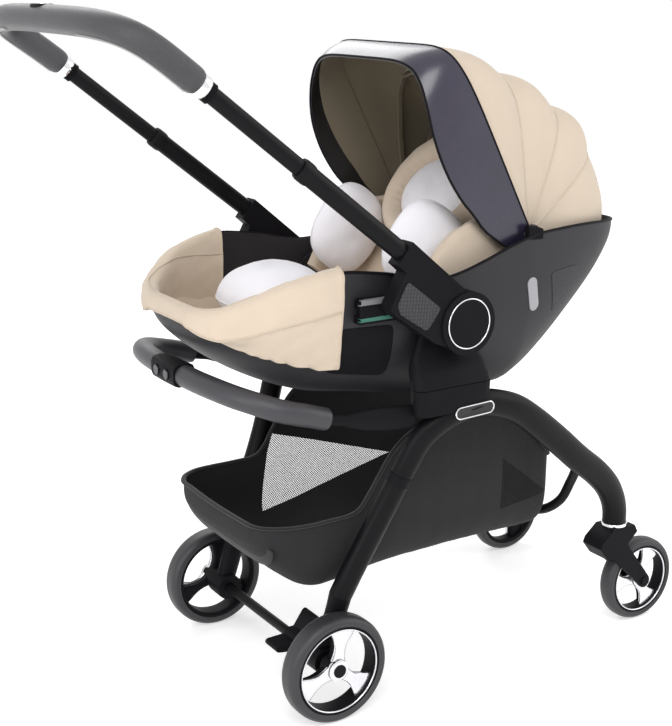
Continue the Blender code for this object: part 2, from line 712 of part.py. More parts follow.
# Basket ribs from back to front: x, half width, right and left edge height, floor height
BASKET = (
    (-0.2300, 0.1050, 0.3020, 0.2680),
    (-0.2180, 0.1300, 0.3020, 0.2490),
    (-0.1900, 0.1480, 0.3020, 0.2200),
    (-0.1550, 0.1540, 0.3010, 0.1900),
    (-0.1200, 0.1540, 0.3010, 0.1770),
    (-0.0700, 0.1540, 0.3050, 0.1800),
    (-0.0450, 0.1550, 0.3350, 0.1810),
    (0.0000, 0.1590, 0.4000, 0.1850),
    (0.0600, 0.1610, 0.4300, 0.1860),
    (0.1250, 0.1610, 0.4350, 0.1870),
    (0.1900, 0.1600, 0.4200, 0.1870),
    (0.2500, 0.1560, 0.3850, 0.1860),
    (0.2980, 0.1500, 0.3400, 0.1860),
    (0.3205, 0.1330, 0.3180, 0.1880),
)
BASKET_WALL = 0.0030
HOOP_R = 0.0080


def build_hoop(mat):
    """Tube hoop from leg to leg that the front of the basket hangs on."""
    rest = BASKET[-1][0] + HOOP_R + GAP
    right = [(rest + 0.0042, -0.1920, 0.3080), (rest + 0.0140, -0.1680, 0.2750), (rest + 0.0160, -0.1430, 0.2350),
             (rest + 0.0080, -0.1080, 0.2080), (rest + 0.0015, -0.0550, 0.1980), (rest + 0.0003, 0.0, 0.1960)]
    points = [at(*p) for p in right] + [at(x, -y, z) for x, y, z in right[-2::-1]]
    hoop = sweep("basket_hoop", smooth_path(points, 15), oval(HOOP_R, HOOP_R, 8), mat, side=(1, 0, 0))
    for word, side in SIDES:
        tool = loft(f"leg_space_{word}_tool", section_rings(arch_path(side), arch_sections(GAP)), mat)
        combine(hoop, tool, "DIFFERENCE")
    return hoop


def build_basket(mat):
    outer, inner = [], []
    last = len(BASKET) - 1
    for i, (x, half, rim, floor) in enumerate(BASKET):
        outer.append(hull_rib(x, half, rim, floor, 5.0, 9))
        nudge = BASKET_WALL * ((i == 0) - (i == last))
        inner.append(hull_rib(x + nudge, half - BASKET_WALL, rim, floor + BASKET_WALL, 5.0, 9))
    return tub("basket", outer, inner, mat)


# Seat

COVER_END = -0.1210       # where the foot cover stops on each side
COVER_CLEAR = 0.0017

# Seat shell ribs from foot to head: x, half width, rim height, bottom height, roundness
SHELL = (
    (-0.2930, 0.0620, 0.6230, 0.5920, 2.5),
    (-0.2840, 0.0940, 0.6255, 0.5770, 2.5),
    (-0.2710, 0.1180, 0.6310, 0.5640, 2.6),
    (-0.2470, 0.1430, 0.6440, 0.5440, 2.8),
    (-0.2150, 0.1640, 0.6610, 0.5220, 3.0),
    (-0.1700, 0.1800, 0.6750, 0.5000, 3.2),
    (-0.1200, 0.1870, 0.6830, 0.4830, 3.4),
    (-0.0500, 0.1895, 0.6750, 0.4710, 3.4),
    (0.0600, 0.1920, 0.6570, 0.4530, 3.5),
    (0.2000, 0.1900, 0.6960, 0.4430, 3.4),
    (0.2400, 0.1880, 0.7045, 0.4480, 3.2),
    (0.2900, 0.1820, 0.7070, 0.4760, 2.9),
    (0.3450, 0.1715, 0.7070, 0.5220, 2.7),
    (0.3950, 0.1560, 0.7040, 0.5710, 2.6),
    (0.4350, 0.1330, 0.7000, 0.6190, 2.6),
    (0.4570, 0.1085, 0.6970, 0.6450, 2.6),
    (0.4720, 0.0800, 0.6940, 0.6630, 2.6),
    (0.4840, 0.0350, 0.6920, 0.6790, 2.6),
)


def shell_ribs(inset, count, low=-9.0, high=9.0, top=None):
    """Ribs of the seat's hull, drawn in by an inset, between two stations."""
    ribs = []
    table = np.array(SHELL)
    stations = [x for x in table[:, 0] if low < x < high]
    stations = ([low] if low > table[0, 0] else []) + stations + ([high] if high < table[-1, 0] else [])
    first, last = table[0, 0], table[-1, 0]
    for x in stations:
        half, rim, bottom, power = (float(np.interp(x, table[:, 0], table[:, k])) for k in (1, 2, 3, 4))
        where = x + inset * 1.2 * (int(x == first) - int(x == last))
        ribs.append(hull_rib(where, half - inset, rim, bottom + inset, power, count, top))
    return ribs


def build_shell(mat):
    shell = tub("seat_shell", shell_ribs(0, SHELL_COLUMNS), shell_ribs(SHELL_WALL, SHELL_COLUMNS), mat)
    for word, side in SIDES:
        hub = at(HUB_X, 0, HUB_Z)
        ends = sorted((side * 0.1800, side * SHELL_BOSS_Y))
        combine(shell, disc(f"hub_boss_{word}_tool", hub, SHELL_BOSS_R, *ends, mat), "UNION")
        pin = at(CANOPY_X, 0, CANOPY_Z)
        ends = sorted((side * CANOPY_PIN_END, side * 0.1860))
        combine(shell, disc(f"canopy_pin_{word}_tool", pin, CANOPY_PIN_R, *ends, mat, count=12), "UNION")
    return shell


def build_foot_cover(mat):
    """Padded cover folded over the rim at the foot of the seat."""
    table = np.array(SHELL)
    xs = [COVER_END, -0.1500, -0.1850, -0.2150, -0.2380, -0.2560, -0.2710, -0.2800, -0.2860, -0.2905, -0.2930]
    half = [float(np.interp(x, table[:, 0], table[:, 1])) for x in xs]
    rim = [float(np.interp(x, table[:, 0], table[:, 2])) for x in xs]
    line = [(x, -h, z) for x, h, z in zip(xs, half, rim)] + [(-0.2930, 0.0, 0.6230)]
    line += [(x, h, z) for x, h, z in reversed(list(zip(xs, half, rim)))]
    path = smooth_path([at(*p) for p in line], 19)
    tangent = np.gradient(path, axis=0)
    level = np.stack([tangent[:, 1], -tangent[:, 0], 0 * tangent[:, 0]], axis=1)
    out = -level / np.linalg.norm(level, axis=1)[:, None]
    rings = []
    for i, point in enumerate(path):
        depth = float(np.interp(point[0] + MIDDLE_X, table[:, 0], table[:, 2] - table[:, 3]))
        share = float(np.clip((abs(point[1]) - 0.06) / 0.12, 0, 1))
        drop = 0.0160 + 0.0440 * share ** 0.8
        inside = min(0.0420, depth - 0.0130)
        hem = [
            (0.0090, -drop), (0.0100, -drop * 0.5), (0.0090, 0.0015), (0.0040, 0.0100), (-0.0080, 0.0110),
            (-0.0150, 0.0040), (-0.0165, -inside * 0.5), (-0.0150, -inside), (-0.0020, -inside),
        ]
        rings.append([Vector(point) + Vector(out[i]) * u + Vector((0, 0, v)) for u, v in hem])
    cover = loft("foot_cover", rings, mat)
    wall = tub("shell_space_tool", [raised(rib, COVER_CLEAR) for rib in shell_ribs(-COVER_CLEAR, SHELL_COLUMNS)],
               [raised(rib, COVER_CLEAR) for rib in shell_ribs(SHELL_WALL + COVER_CLEAR, SHELL_COLUMNS)], mat)
    return combine(cover, wall, "DIFFERENCE")


def raised(rib, height):
    """A hull's rib with its two rim ends lifted."""
    lift = Vector((0, 0, height))
    return [rib[0] + lift] + rib[1:-1] + [rib[-1] + lift]


SEAT_TOP = 0.5580
SEAT_CROWN = 0.0100
SEAT_MEET = 0.0008        # between the seat pad and the backrest that stands on it
BACK_FOOT = (0.1000, SEAT_TOP + SEAT_CROWN + SEAT_MEET)      # foot of the backrest's face


def build_seat_base(mat):
    """Thick pad in the bottom of the shell."""
    gap = SHELL_WALL + 0.0028
    rings = []
    for rib in shell_ribs(gap, 11, -0.2350, BACK_FOOT[0] + SEAT_MEET, SEAT_TOP):
        reach = rib[-1].y
        crown = [Vector((rib[0].x, reach * f, SEAT_TOP + SEAT_CROWN * (1 - f * f)))
                 for f in (0.9, 0.6, 0.0, -0.6, -0.9)]
        rings.append(rib + crown)
    return loft("seat_base", rings, mat)


BACK_TOP = (0.2716, 0.7965)
BACK_T = 0.0260
BACK_RIDGE = 0.0040
WING_T = 0.0200

# Backrest from foot to top: share of its length, half width, how far its wings stand forward
BACK = (
    (0.00, 0.1560, 0.0860),
    (0.20, 0.1580, 0.0920),
    (0.40, 0.1580, 0.0860),
    (0.50, 0.1580, 0.0700),
    (0.58, 0.1420, 0.0420),
    (0.68, 0.1400, 0.0180),
    (0.80, 0.1300, 0.0140),
    (1.00, 0.1000, 0.0140),
)


def build_backrest(mat):
    """Padded board, with a low wing at each side, that the head pillow stands against."""
    foot = at(BACK_FOOT[0], 0, BACK_FOOT[1])
    rise = at(BACK_TOP[0], 0, BACK_TOP[1]) - foot
    lean = rise.normalized()
    face = Vector((-lean.z, 0, lean.x))
    rings = []
    for t, half, wing in BACK:
        soft = 0.005
        shape = [
            (-half + soft, -BACK_T), (half - soft, -BACK_T), (half, -BACK_T + soft), (half, wing - soft),
            (half - soft, wing), (half - WING_T + soft, wing), (half - WING_T, wing - soft),
            (half - WING_T, 0.008), (half - WING_T - 0.010, 0.0), (0.0, BACK_RIDGE), (-half + WING_T + 0.010, 0.0),
            (-half + WING_T, 0.008), (-half + WING_T, wing - soft), (-half + WING_T - soft, wing),
            (-half + soft, wing), (-half, wing - soft), (-half, -BACK_T + soft),
        ]
        rings.append([foot + rise * t + Vector((0, y, 0)) + face * d for y, d in shape])
    return loft("backrest", rings, mat)


HEAD_U = 0.0840           # half height and half width of the head pillow's middle line
HEAD_V = 0.1020
LEG_PAD_T = 0.0492        # half thickness


def build_cushions(mats):
    """Head pillow with its pad, two body bolsters and the leg cushion."""
    beige, white = mats
    across = Vector((0, 1, 0))
    foot = at(BACK_FOOT[0], 0, BACK_FOOT[1])
    lean = (at(BACK_TOP[0], 0, BACK_TOP[1]) - foot).normalized()
    face = Vector((-lean.z, 0, lean.x))
    tube_u, tube_w, sides = 0.0180, 0.0300, 10
    head = foot + lean * 0.1930 + face * (tube_w * math.cos(math.pi / sides) + BACK_RIDGE + GAP)
    rings = []
    for t in np.linspace(0, 2 * math.pi, 18, endpoint=False):
        middle = head + lean * (HEAD_U * math.sin(t)) + across * (HEAD_V * math.cos(t))
        outward = (lean * math.sin(t) + across * math.cos(t)).normalized()
        rings.append([middle + outward * (tube_u * math.cos(a)) + face * (tube_w * math.sin(a))
                      for a in np.linspace(0, 2 * math.pi, sides, endpoint=False)])
    pieces = [loft("head_pillow", rings, beige, closed=True, smooth=80)]
    pad_size = (HEAD_U - tube_u - GAP, HEAD_V - tube_u - GAP, 0.0235)
    pieces.append(pillow("head_pad", head + face * 0.0080, lean, across, pad_size, white, 0.0, 2.0, 18, 4))
    for word, side in SIDES:
        mid = foot + lean * 0.0801 + face * 0.0838 + across * (side * 0.1076)
        pieces.append(pillow(f"body_bolster_{word}", mid, (0.602, 0, 0.799), (0.799, side * 0.10, -0.602),
                             (0.0660, 0.0560, 0.0300), white, 0.03, 2.4, 20, 4))
    leg = at(-0.1150, 0, SEAT_TOP + SEAT_CROWN + LEG_PAD_T + 0.0007)
    pieces.append(pillow("leg_cushion", leg, (1, 0, 0.10), across, (0.0900, 0.0950, LEG_PAD_T), white, 0.03, 2.4, 20, 4))
    return pieces


def build_belt_guides(mat):
    """Hooked guides on the rim that a seat belt passes under."""
    guides = []
    for word, side in SIDES:
        x, z = -0.0590, 0.6260
        inner, outer, lip = 0.1865, 0.2042, 0.0050
        outline = [(x - 0.0390, z - 0.0180), (x + 0.0390, z - 0.0180), (x + 0.0390, z + 0.0180),
                   (x - 0.0370, z + 0.0180), (x - 0.0390, z + 0.0120)]
        ends = sorted((side * inner, side * outer))
        guide = prism(f"belt_guide_{word}", outline, *ends, mat)
        slot = [(x - 0.0450, z - 0.0060), (x + 0.0300, z - 0.0060), (x + 0.0300, z + 0.0040), (x - 0.0450, z + 0.0040)]
        cut_ends = sorted((side * (inner - 0.002), side * (outer - lip)))
        tool = prism(f"belt_slot_{word}_tool", slot, *cut_ends, mat)
        combine(guide, tool, "DIFFERENCE")
        shell_tool = loft(f"guide_seat_{word}_tool", shell_ribs(-GAP, SHELL_COLUMNS), mat)
        combine(guide, shell_tool, "DIFFERENCE")
        guides.append(guide)
    return guides


# Handle

def arm_point(along, above):
    """Side-view place from the hub: along the tube towards the grip, and square to it."""
    pitch = math.radians(HANDLE_PITCH)
    x = HUB_X - along * math.cos(pitch) + above * math.sin(pitch)
    z = HUB_Z + along * math.sin(pitch) + above * math.cos(pitch)
    return x, z


def tube_line(start, end, side, count=2):
    ends = []
    for along in np.linspace(start, end, count):
        x, z = arm_point(along, TUBE_OFFSET)
        ends.append(at(x, side * HANDLE_Y, z))
    return np.array([tuple(p) for p in ends])


def build_arm(word, side, mat):
    """Housing from the hub disc to the tube's collar, with a socket for the tube."""
    # Points run from the top edge round the hub to the lower edge, then out to the collar
    round_hub = [(HUB_DISC_R * math.cos(math.radians(t)), HUB_DISC_R * math.sin(math.radians(t)))
                 for t in np.linspace(50, 278, 13)]
    outline = round_hub + [(0.030, -0.0530), (0.118, -0.0575), (0.1275, -0.0560), (0.1310, -0.0500),
                           (0.1390, 0.0000), (ARM_END, 0.0010), (ARM_END, 0.0400)]
    places = [arm_point(a, b) for a, b in outline]
    ends = sorted((side * ARM_INNER_Y, side * ARM_OUTER_Y))
    arm = prism(f"handle_arm_{word}", places, *ends, mat)
    hub = at(HUB_X, 0, HUB_Z)
    ends = sorted((side * (ARM_INNER_Y + 0.002), side * HUB_FACE_Y))
    combine(arm, disc(f"hub_disc_{word}_tool", hub, HUB_DISC_R + GAP, *ends, mat, count=24), "UNION")
    line = tube_line(ARM_BORE_END, ARM_END + 0.01, side)
    combine(arm, sweep(f"arm_bore_{word}_tool", line, oval(MID_A + GAP, MID_B + GAP, 16), mat), "DIFFERENCE")
    floor = HUB_FACE_Y - HUB_BUTTON_T - HUB_BUTTON_TRAVEL - RUN
    ends = sorted((side * floor, side * (HUB_FACE_Y + 0.01)))
    pocket = disc(f"hub_pocket_{word}_tool", hub, HUB_BUTTON_R + GAP, *ends, mat, count=24)
    return combine(arm, pocket, "DIFFERENCE")


def build_hub_button(word, side, mat):
    hub = at(HUB_X, 0, HUB_Z)
    top = HUB_FACE_Y + 0.0005
    low = top - HUB_BUTTON_T
    edge = 0.001
    profile = [(HUB_BUTTON_R, side * low), (HUB_BUTTON_R, side * (top - edge)), (HUB_BUTTON_R - edge, side * top)]
    return turned(f"hub_button_{word}", profile, hub, mat, count=24, closed=False)


def build_mid_tube(word, side, mat):
    """Middle stage of the telescope, with a thicker collar at its upper end."""
    line = tube_line(MID_START, MID_END, side, 4)
    collar = MID_END - 0.020
    for row, along in zip((1, 2), (collar - 0.0005, collar)):
        line[row] = tube_line(along, along + 0.01, side)[0]
    outer = [oval(MID_A + extra, MID_B + extra, 16) for extra in (0, 0, 0.0016, 0.0016)]
    bore = oval(MID_A - TUBE_WALL, MID_B - TUBE_WALL, 16)
    out = section_rings(line, outer)
    hole = section_rings(line, [bore] * 4)
    return loft(f"mid_tube_{word}", out + hole[::-1], mat, closed=True)


def grip_half(count):
    """Middle line of half the grip, a Bezier curve from the foam's end to the middle."""
    x, z = arm_point(GRIP_START, TUBE_OFFSET)
    lead_x, lead_z = arm_point(GRIP_START + GRIP_LEAD, TUBE_OFFSET)
    top_z = z + GRIP_RISE
    a, b = np.array((x, HANDLE_Y, z)), np.array((lead_x, HANDLE_Y, lead_z))
    c = np.array((x - GRIP_REACH, GRIP_SHOULDER, top_z))
    d = np.array((x - GRIP_REACH, 0.0, top_z))
    t = np.linspace(0, 1, count)[:, None]
    half = (1 - t) ** 3 * a + 3 * t * (1 - t) ** 2 * b + 3 * t * t * (1 - t) * c + t ** 3 * d
    half[:, 0] -= MIDDLE_X
    return half


def build_grip(mats):
    """U-shaped top bar, its padded grip, and the button that frees the telescope."""
    metal, leather, button_mat = mats
    half = grip_half(9)
    mirror = half * np.array((1, -1, 1))
    curve = np.vstack([mirror, half[-2::-1]])
    inner_a = MID_A - TUBE_WALL - GAP
    inner_b = MID_B - TUBE_WALL - GAP
    right = tube_line(TOP_START, GRIP_START, -1, 3)[:-1]
    left = tube_line(TOP_START, GRIP_START, 1, 3)[:-1]
    whole = np.vstack([right, curve, left[::-1]])
    rings = grip_rings(whole, [oval(inner_a, inner_b, 8)] * len(whole))
    bar = loft("handle_bar", rings, metal)
    outer = grip_rings(whole, [oval(GRIP_R, GRIP_R, 10)] * len(whole))[2:-2]
    hole = grip_rings(whole, [oval(inner_a + 3 * GAP, inner_b + 3 * GAP, 10)] * len(whole))[2:-2]
    grip = loft("handle_grip", outer + hole[::-1], leather, closed=True)
    middle = curve[len(curve) // 2]
    top = middle[2] + GRIP_R
    floor = top - GRIP_BUTTON_H + 0.0005
    shape = rounded(GRIP_BUTTON_W / 2, GRIP_BUTTON_L / 2, 0.0075)
    grown = rounded(GRIP_BUTTON_W / 2 + GAP, GRIP_BUTTON_L / 2 + GAP, 0.0075)
    place = lambda pts, z: [Vector((middle[0] + u, v, z)) for u, v in pts]
    combine(grip, loft("button_pocket_tool", [place(grown, floor - 0.0003), place(grown, top + 0.01)], leather),
            "DIFFERENCE")
    low = floor + GRIP_BUTTON_TRAVEL
    button = loft("grip_button", [place(shape, low), place(shape, top + 0.0016), place(shape * 0.8, top + 0.0028)],
                  button_mat)
    return bar, grip, button


def grip_rings(path, sections):
    """Rings along the grip's curve: one frame carried to its middle, then mirrored."""
    tangent = np.gradient(path, axis=0)
    tangent /= np.linalg.norm(tangent, axis=1)[:, None]
    across = np.array((0.0, 1.0, 0.0))
    rings = []
    for i, t in enumerate(tangent):
        across = across - t * (across @ t)
        across /= np.linalg.norm(across)
        up = np.cross(across, t)
        rings.append(path[i] + sections[i][:, :1] * up + sections[i][:, 1:] * across)
    half = rings[:len(path) // 2 + 1]
    half[-1][:, 1] = 0
    return half + [ring * (1, -1, 1) for ring in half[-2::-1]]


# Canopy

def fan_point(radius, angle, y):
    turn = math.radians(angle)
    return at(CANOPY_X + radius * math.cos(turn), y, CANOPY_Z + radius * math.sin(turn))


def hoop_shape(half, radius, turn, power=6.0):
    """Across and out from the pivot line, for a square-shouldered hoop that stands on both pivots."""
    c, s = math.cos(turn), math.sin(turn)
    reach = (abs(c) ** power + abs(s) ** power) ** (-1 / power)
    return half * reach * c, radius * reach * s


def hoop_turns(count, low):
    """Turns round a hoop, closer at its shoulders; low is the share left out at each end."""
    share = np.linspace(low, 1, (count + 1) // 2)
    half = math.pi / 2 * (share - 0.5 * np.sin(4 * math.pi * share) / (4 * math.pi))
    return np.concatenate([half, math.pi - half[-2::-1]])


def build_rib(index, mat):
    """Flat hoop that spreads the cloth, with an eye on the pivot pin at each end."""
    half = RIB_Y - index * RIB_PITCH
    angle, radius = RIB_ANGLES[index], RIB_RADII[index]
    turns = hoop_turns(15, 0.0)
    path = []
    for t in turns:
        y, r = hoop_shape(half, radius, t)
        path.append(fan_point(r, angle, -y))
    path = np.array([tuple(p) for p in path])
    side = (-math.sin(math.radians(angle)), 0, math.cos(math.radians(angle)))
    shape = np.array([(-RIB_T / 2, -RIB_W / 2), (RIB_T / 2, -RIB_W / 2), (RIB_T / 2, RIB_W / 2), (-RIB_T / 2, RIB_W / 2)])
    rib = sweep(f"canopy_rib_{index + 1}", path, shape, mat, side)
    return add_eyes(rib, half, RIB_EYE_R, mat)


def add_eyes(piece, half, eye_r, mat):
    pivot = at(CANOPY_X, 0, CANOPY_Z)
    for word, side in SIDES:
        ends = sorted((side * (half - RIB_T / 2 - EYE_PROUD), side * (half + RIB_T / 2 + EYE_PROUD)))
        eye = disc(f"{piece.name}_eye_{word}_tool", pivot, eye_r, *ends, mat, count=12)
        combine(piece, eye, "UNION")
    for word, side in SIDES:
        bore = disc(f"{piece.name}_bore_{word}_tool", pivot, CANOPY_PIN_R + GAP,
                    *sorted((side * (half - 0.01), side * (half + 0.01))), mat, count=12)
        combine(piece, bore, "DIFFERENCE")
    return piece


def fan_sheet(name, rows, columns, place, thick, mat):
    """A curved sheet: place(f, t, offset) gives its points, f along the fan and t round the hoop."""
    outer = [[place(f, t, thick) for t in columns] for f in rows]
    inner = [[place(f, t, 0.0) for t in columns] for f in rows]
    height, width = len(rows), len(columns)
    verts = [p for line in outer for p in line] + [p for line in inner for p in line]
    shift = height * width
    faces = []
    for i in range(height - 1):
        for k in range(width - 1):
            a = i * width + k
            faces.append((a, a + 1, a + width + 1, a + width))
            faces.append((shift + a, shift + a + 1, shift + a + width + 1, shift + a + width))
    edge = ([k for k in range(width)] + [i * width + width - 1 for i in range(1, height)]
            + [(height - 1) * width + k for k in range(width - 2, -1, -1)]
            + [i * width for i in range(height - 2, 0, -1)])
    for a, b in zip(edge, edge[1:] + edge[:1]):
        faces.append((a, b, b + shift, a + shift))
    return make(name, verts, faces, mat, smooth=60)


VISOR_REAR = 120.5
# Visor's front edge: share of its reach from the pivot line, and the angle there
VISOR_FRONT = (
    (0.00, 225.0), (0.12, 205.0), (0.21, 180.0), (0.36, 160.5), (0.52, 151.0), (0.64, 144.5), (0.72, 140.3),
    (0.83, 134.2), (0.91, 129.3), (0.965, 126.5), (1.00, 125.5),
)
VISOR_RADII = (0.3200, 0.3320)    # at its rear edge and at its front edge
VISOR_POWERS = (5.0, 5.0)
VISOR_T = 0.0030


def visor_place(f, t, offset):
    """Visor surface; f runs from the rear edge to the front edge."""
    radius = VISOR_RADII[0] + (VISOR_RADII[1] - VISOR_RADII[0]) * f
    half = VISOR_Y - VISOR_T / 2
    power = VISOR_POWERS[0] + (VISOR_POWERS[1] - VISOR_POWERS[0]) * f
    y, r = hoop_shape(half + offset, radius + offset, t, power)
    front = float(np.interp(r / radius, *zip(*VISOR_FRONT)))
    return fan_point(r, VISOR_REAR + (front - VISOR_REAR) * f, -y)


def build_visor(mat):
    visor = fan_sheet("canopy_visor", np.linspace(0, 1, 4), hoop_turns(21, 0.035), visor_place, VISOR_T, mat)
    return add_eyes(visor, VISOR_Y, VISOR_EYE_R, mat)


# Hoops that the cloth is sewn to, from the visor back: angle, radius, half width, squareness
SEAMS = (
    (120.5, 0.3170, 0.1715, 5.0),
    (97.0, 0.2400, 0.1630, 6.0),
    (69.5, 0.2010, 0.1630, 6.0),
    (40.0, 0.1880, 0.1630, 6.0),
    (-3.0, 0.2340, 0.1660, 2.5),
)
BILLOWS = ((0.0020, 0.50), (0.0150, 0.50), (0.0230, 0.55), (-0.0140, 0.50))    # height, and where it peaks


def build_gores(mat):
    """Cloth between the visor, the ribs and the shell's rim, billowed between its seams."""
    made = []
    trim = 0.12
    for index, (billow, peak) in enumerate(BILLOWS):
        first, last = np.array(SEAMS[index]), np.array(SEAMS[index + 1])
        bend = math.log(0.5) / math.log(peak)

        def place(f, t, offset, first=first, last=last, billow=billow, bend=bend):
            angle, radius, half, power = first + (last - first) * f
            angle += trim * (2 * f - 1)
            swell = billow * math.sin(math.pi * f ** bend) * math.sin(t) ** 1.2
            y, r = hoop_shape(half + offset + 0.25 * swell, radius + swell + offset, t, power)
            return fan_point(r, angle, -y)

        made.append(fan_sheet(f"canopy_gore_{index + 1}", np.linspace(0, 1, 5), hoop_turns(17, 0.10), place,
                              CLOTH_T, mat))
    return made


def main():
    clear_scene()
    black = material("black plastic", (0.022, 0.021, 0.024), 0.42)
    tube = material("black tube", (0.024, 0.023, 0.026), 0.36, 0.2)
    chrome = material("chrome", (0.82, 0.82, 0.84), 0.14, 1.0)
    rubber = material("tyre foam", (0.068, 0.066, 0.070), 0.72)
    foam = material("grey foam", (0.125, 0.122, 0.135), 0.66)
    leather = material("grey leather", (0.130, 0.128, 0.138), 0.50)
    beige = material("beige cloth", (0.775, 0.640, 0.450), 0.90)
    white = material("white cloth", (0.800, 0.790, 0.860), 0.92)
    visor_black = material("visor", (0.030, 0.028, 0.040), 0.30)
    net = material("black cloth", (0.014, 0.013, 0.016), 0.88)

    fold = empty("chassis_fold", at(FOLD_X, 0, FOLD_Z))
    rear_centre = at(REAR_AXLE_X, 0, REAR_WHEEL_R)
    for word, side in SIDES:
        front_leg, rear_leg = build_arch(word, side, tube)
        carry(fold, rear_leg, build_foot(word, side, black))
        wheel_centre = rear_centre + Vector((0, side * REAR_WHEEL_Y, 0))
        spin = empty(f"rear_wheel_{word}_spin", wheel_centre)
        carry(spin, *build_wheel("rear", word, wheel_centre, REAR_WHEEL_R, REAR_WHEEL_W, REAR_RIM_R,
                                 REAR_HUB_R, AXLE_STUB_R + GAP, 80, (rubber, chrome)))
        swivel = empty(f"castor_{word}_swivel", at(SWIVEL_X, side * FRONT_WHEEL_Y, LEG_END_Z))
        _, fork = build_castor(word, side, (chrome, black))
        carry(swivel, fork)
        castor_centre = at(FRONT_AXLE_X, side * FRONT_WHEEL_Y, FRONT_WHEEL_R)
        spin = empty(f"front_wheel_{word}_spin", castor_centre)
        carry(spin, *build_wheel("front", word, castor_centre, FRONT_WHEEL_R, FRONT_WHEEL_W, FRONT_RIM_R,
                                 FRONT_HUB_R, BOLT_R + GAP, 60, (rubber, chrome)))
        build_dock(word, side, black)
    carry(fold, build_axle(black))
    carry(empty("brake_turn", at(REAR_AXLE_X, PEDAL_Y, REAR_WHEEL_R)), build_brake(black))
    _, bar_buttons = build_carry_bar((black, foam, chrome))
    for button in bar_buttons:
        corners = [vert.co for vert in button.data.vertices]
        carry(empty(f"{button.name}_press", sum(corners, Vector()) / len(corners)), button)
    build_hoop(tube)
    build_basket(net)

    dock = empty("seat_lift", at(DOCK_X, 0, DOCK_Z))
    carry(dock, build_shell(black), build_foot_cover(beige), build_seat_base(beige), build_backrest(beige))
    carry(dock, *build_cushions((beige, white)))
    carry(dock, *build_belt_guides(black))
    turn = empty("handle_turn", at(HUB_X, 0, HUB_Z))
    for word, side in SIDES:
        carry(dock, build_post(word, side, black))
        carry(turn, build_arm(word, side, black), build_hub_button(word, side, black))
        carry(turn, build_mid_tube(word, side, tube))
    carry(turn, *build_grip((tube, leather, chrome)))
    pivot = empty("canopy_turn", at(CANOPY_X, 0, CANOPY_Z))
    carry(pivot, build_visor(visor_black), *build_gores(beige))
    carry(pivot, *(build_rib(index, black) for index in range(len(RIB_ANGLES))))


if __name__ == "__main__":
    main()
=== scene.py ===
"""Looks for a pram: tubes, wheels, shell, cushions, cloth and stage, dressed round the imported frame."""
import json
import math

import bmesh
import bpy
import numpy as np
from bpy.props import FloatProperty, FloatVectorProperty, IntProperty, PointerProperty
from bpy.types import Operator, Panel, PropertyGroup
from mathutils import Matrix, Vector


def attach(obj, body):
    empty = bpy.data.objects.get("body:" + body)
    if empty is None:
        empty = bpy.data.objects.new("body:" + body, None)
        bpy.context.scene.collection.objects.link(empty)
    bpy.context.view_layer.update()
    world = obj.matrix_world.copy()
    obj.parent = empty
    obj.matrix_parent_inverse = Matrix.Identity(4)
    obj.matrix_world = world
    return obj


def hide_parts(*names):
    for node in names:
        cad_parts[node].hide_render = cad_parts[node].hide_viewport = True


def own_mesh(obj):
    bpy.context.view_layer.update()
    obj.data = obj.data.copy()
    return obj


bl_info = {
    "name": "Pram looks",
    "version": (1, 0, 0),
    "blender": (4, 5, 0),
    "location": "3D View > Sidebar > Pram",
    "description": "Builds a pram's finished surfaces and materials on its packed frame",
    "category": "Object",
}

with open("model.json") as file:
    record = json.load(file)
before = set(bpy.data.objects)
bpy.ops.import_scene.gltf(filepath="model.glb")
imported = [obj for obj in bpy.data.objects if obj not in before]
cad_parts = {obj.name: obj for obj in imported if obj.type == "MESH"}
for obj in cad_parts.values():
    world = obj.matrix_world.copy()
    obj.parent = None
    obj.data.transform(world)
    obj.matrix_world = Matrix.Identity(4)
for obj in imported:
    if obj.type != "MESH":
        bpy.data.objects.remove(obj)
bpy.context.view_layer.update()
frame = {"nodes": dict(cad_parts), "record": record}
NODES = frame["nodes"]
BODY_OF = {node: body for body, nodes in frame["record"]["behaviour"]["bodies"].items() for node in nodes}
SIDES = (("right", -1), ("left", 1))

# The drawing's sizes, in metres; x is measured from the drawing's datum
MIDDLE_X = 0.0426
# Axles as (x, z); each wheel's place across, its radii and width, and its first spoke's angle in degrees
REAR_AXLE = (-0.1365, 0.0847)
FRONT_AXLE = (0.4937, 0.0732)
REAR_WHEEL = {"y": 0.1955, "radius": 0.0847, "width": 0.0360, "rim": 0.0698, "hub": 0.0170, "bore": 0.0063,
              "turn": 80}
FRONT_WHEEL = {"y": 0.1795, "radius": 0.0732, "width": 0.0300, "rim": 0.0604, "hub": 0.0145, "bore": 0.0053,
               "turn": 60}
# Frame and carry bar; steps count along a middle line, and each is cut finer
LEG_END_Z = 0.1905
ARCH_STEPS = 27
SEAM_STEP = 7
FINER = 4
BAR_STEPS = 30
FOAM_STEP = 5
BAR_CORE_R = 0.0090
BAR_END_DEEP, BAR_END_THIN = 0.0185, 0.0070
BAR_GRIP_R = 0.0165
SWITCH_HALF = 0.0370
HOOP_R = 0.0080
HOOP_GAP = 0.0003
FOLD_CUFF = (0.0196, 0.0176)
PLATE_CENTRE = (0.0800, 0.2428, 0.4640)
PLATE_REACH, PLATE_R = 0.0260, 0.0088
PLATE_TILT = math.radians(-2.0)
# Handle: hub as (x, z), half depth and half width of its tubes, their ends as distances from the hub
HUB = (0.0658, 0.5970)
HANDLE_PITCH = math.radians(38.2)
TUBE_ABOVE = 0.0214
HANDLE_Y = 0.2251
ARM_OUTER_Y = 0.2383
HUB_FACE_Y = 0.2420
MID_A, MID_B = 0.0140, 0.0105
TOP_A, TOP_B = 0.0118, 0.0083
MID_START, MID_END = 0.1350, 0.3659
TOP_START, GRIP_START = 0.3300, 0.5505
GRIP_R = 0.0185
HUB_RING_R = 0.0368
STITCH_R = 0.00045
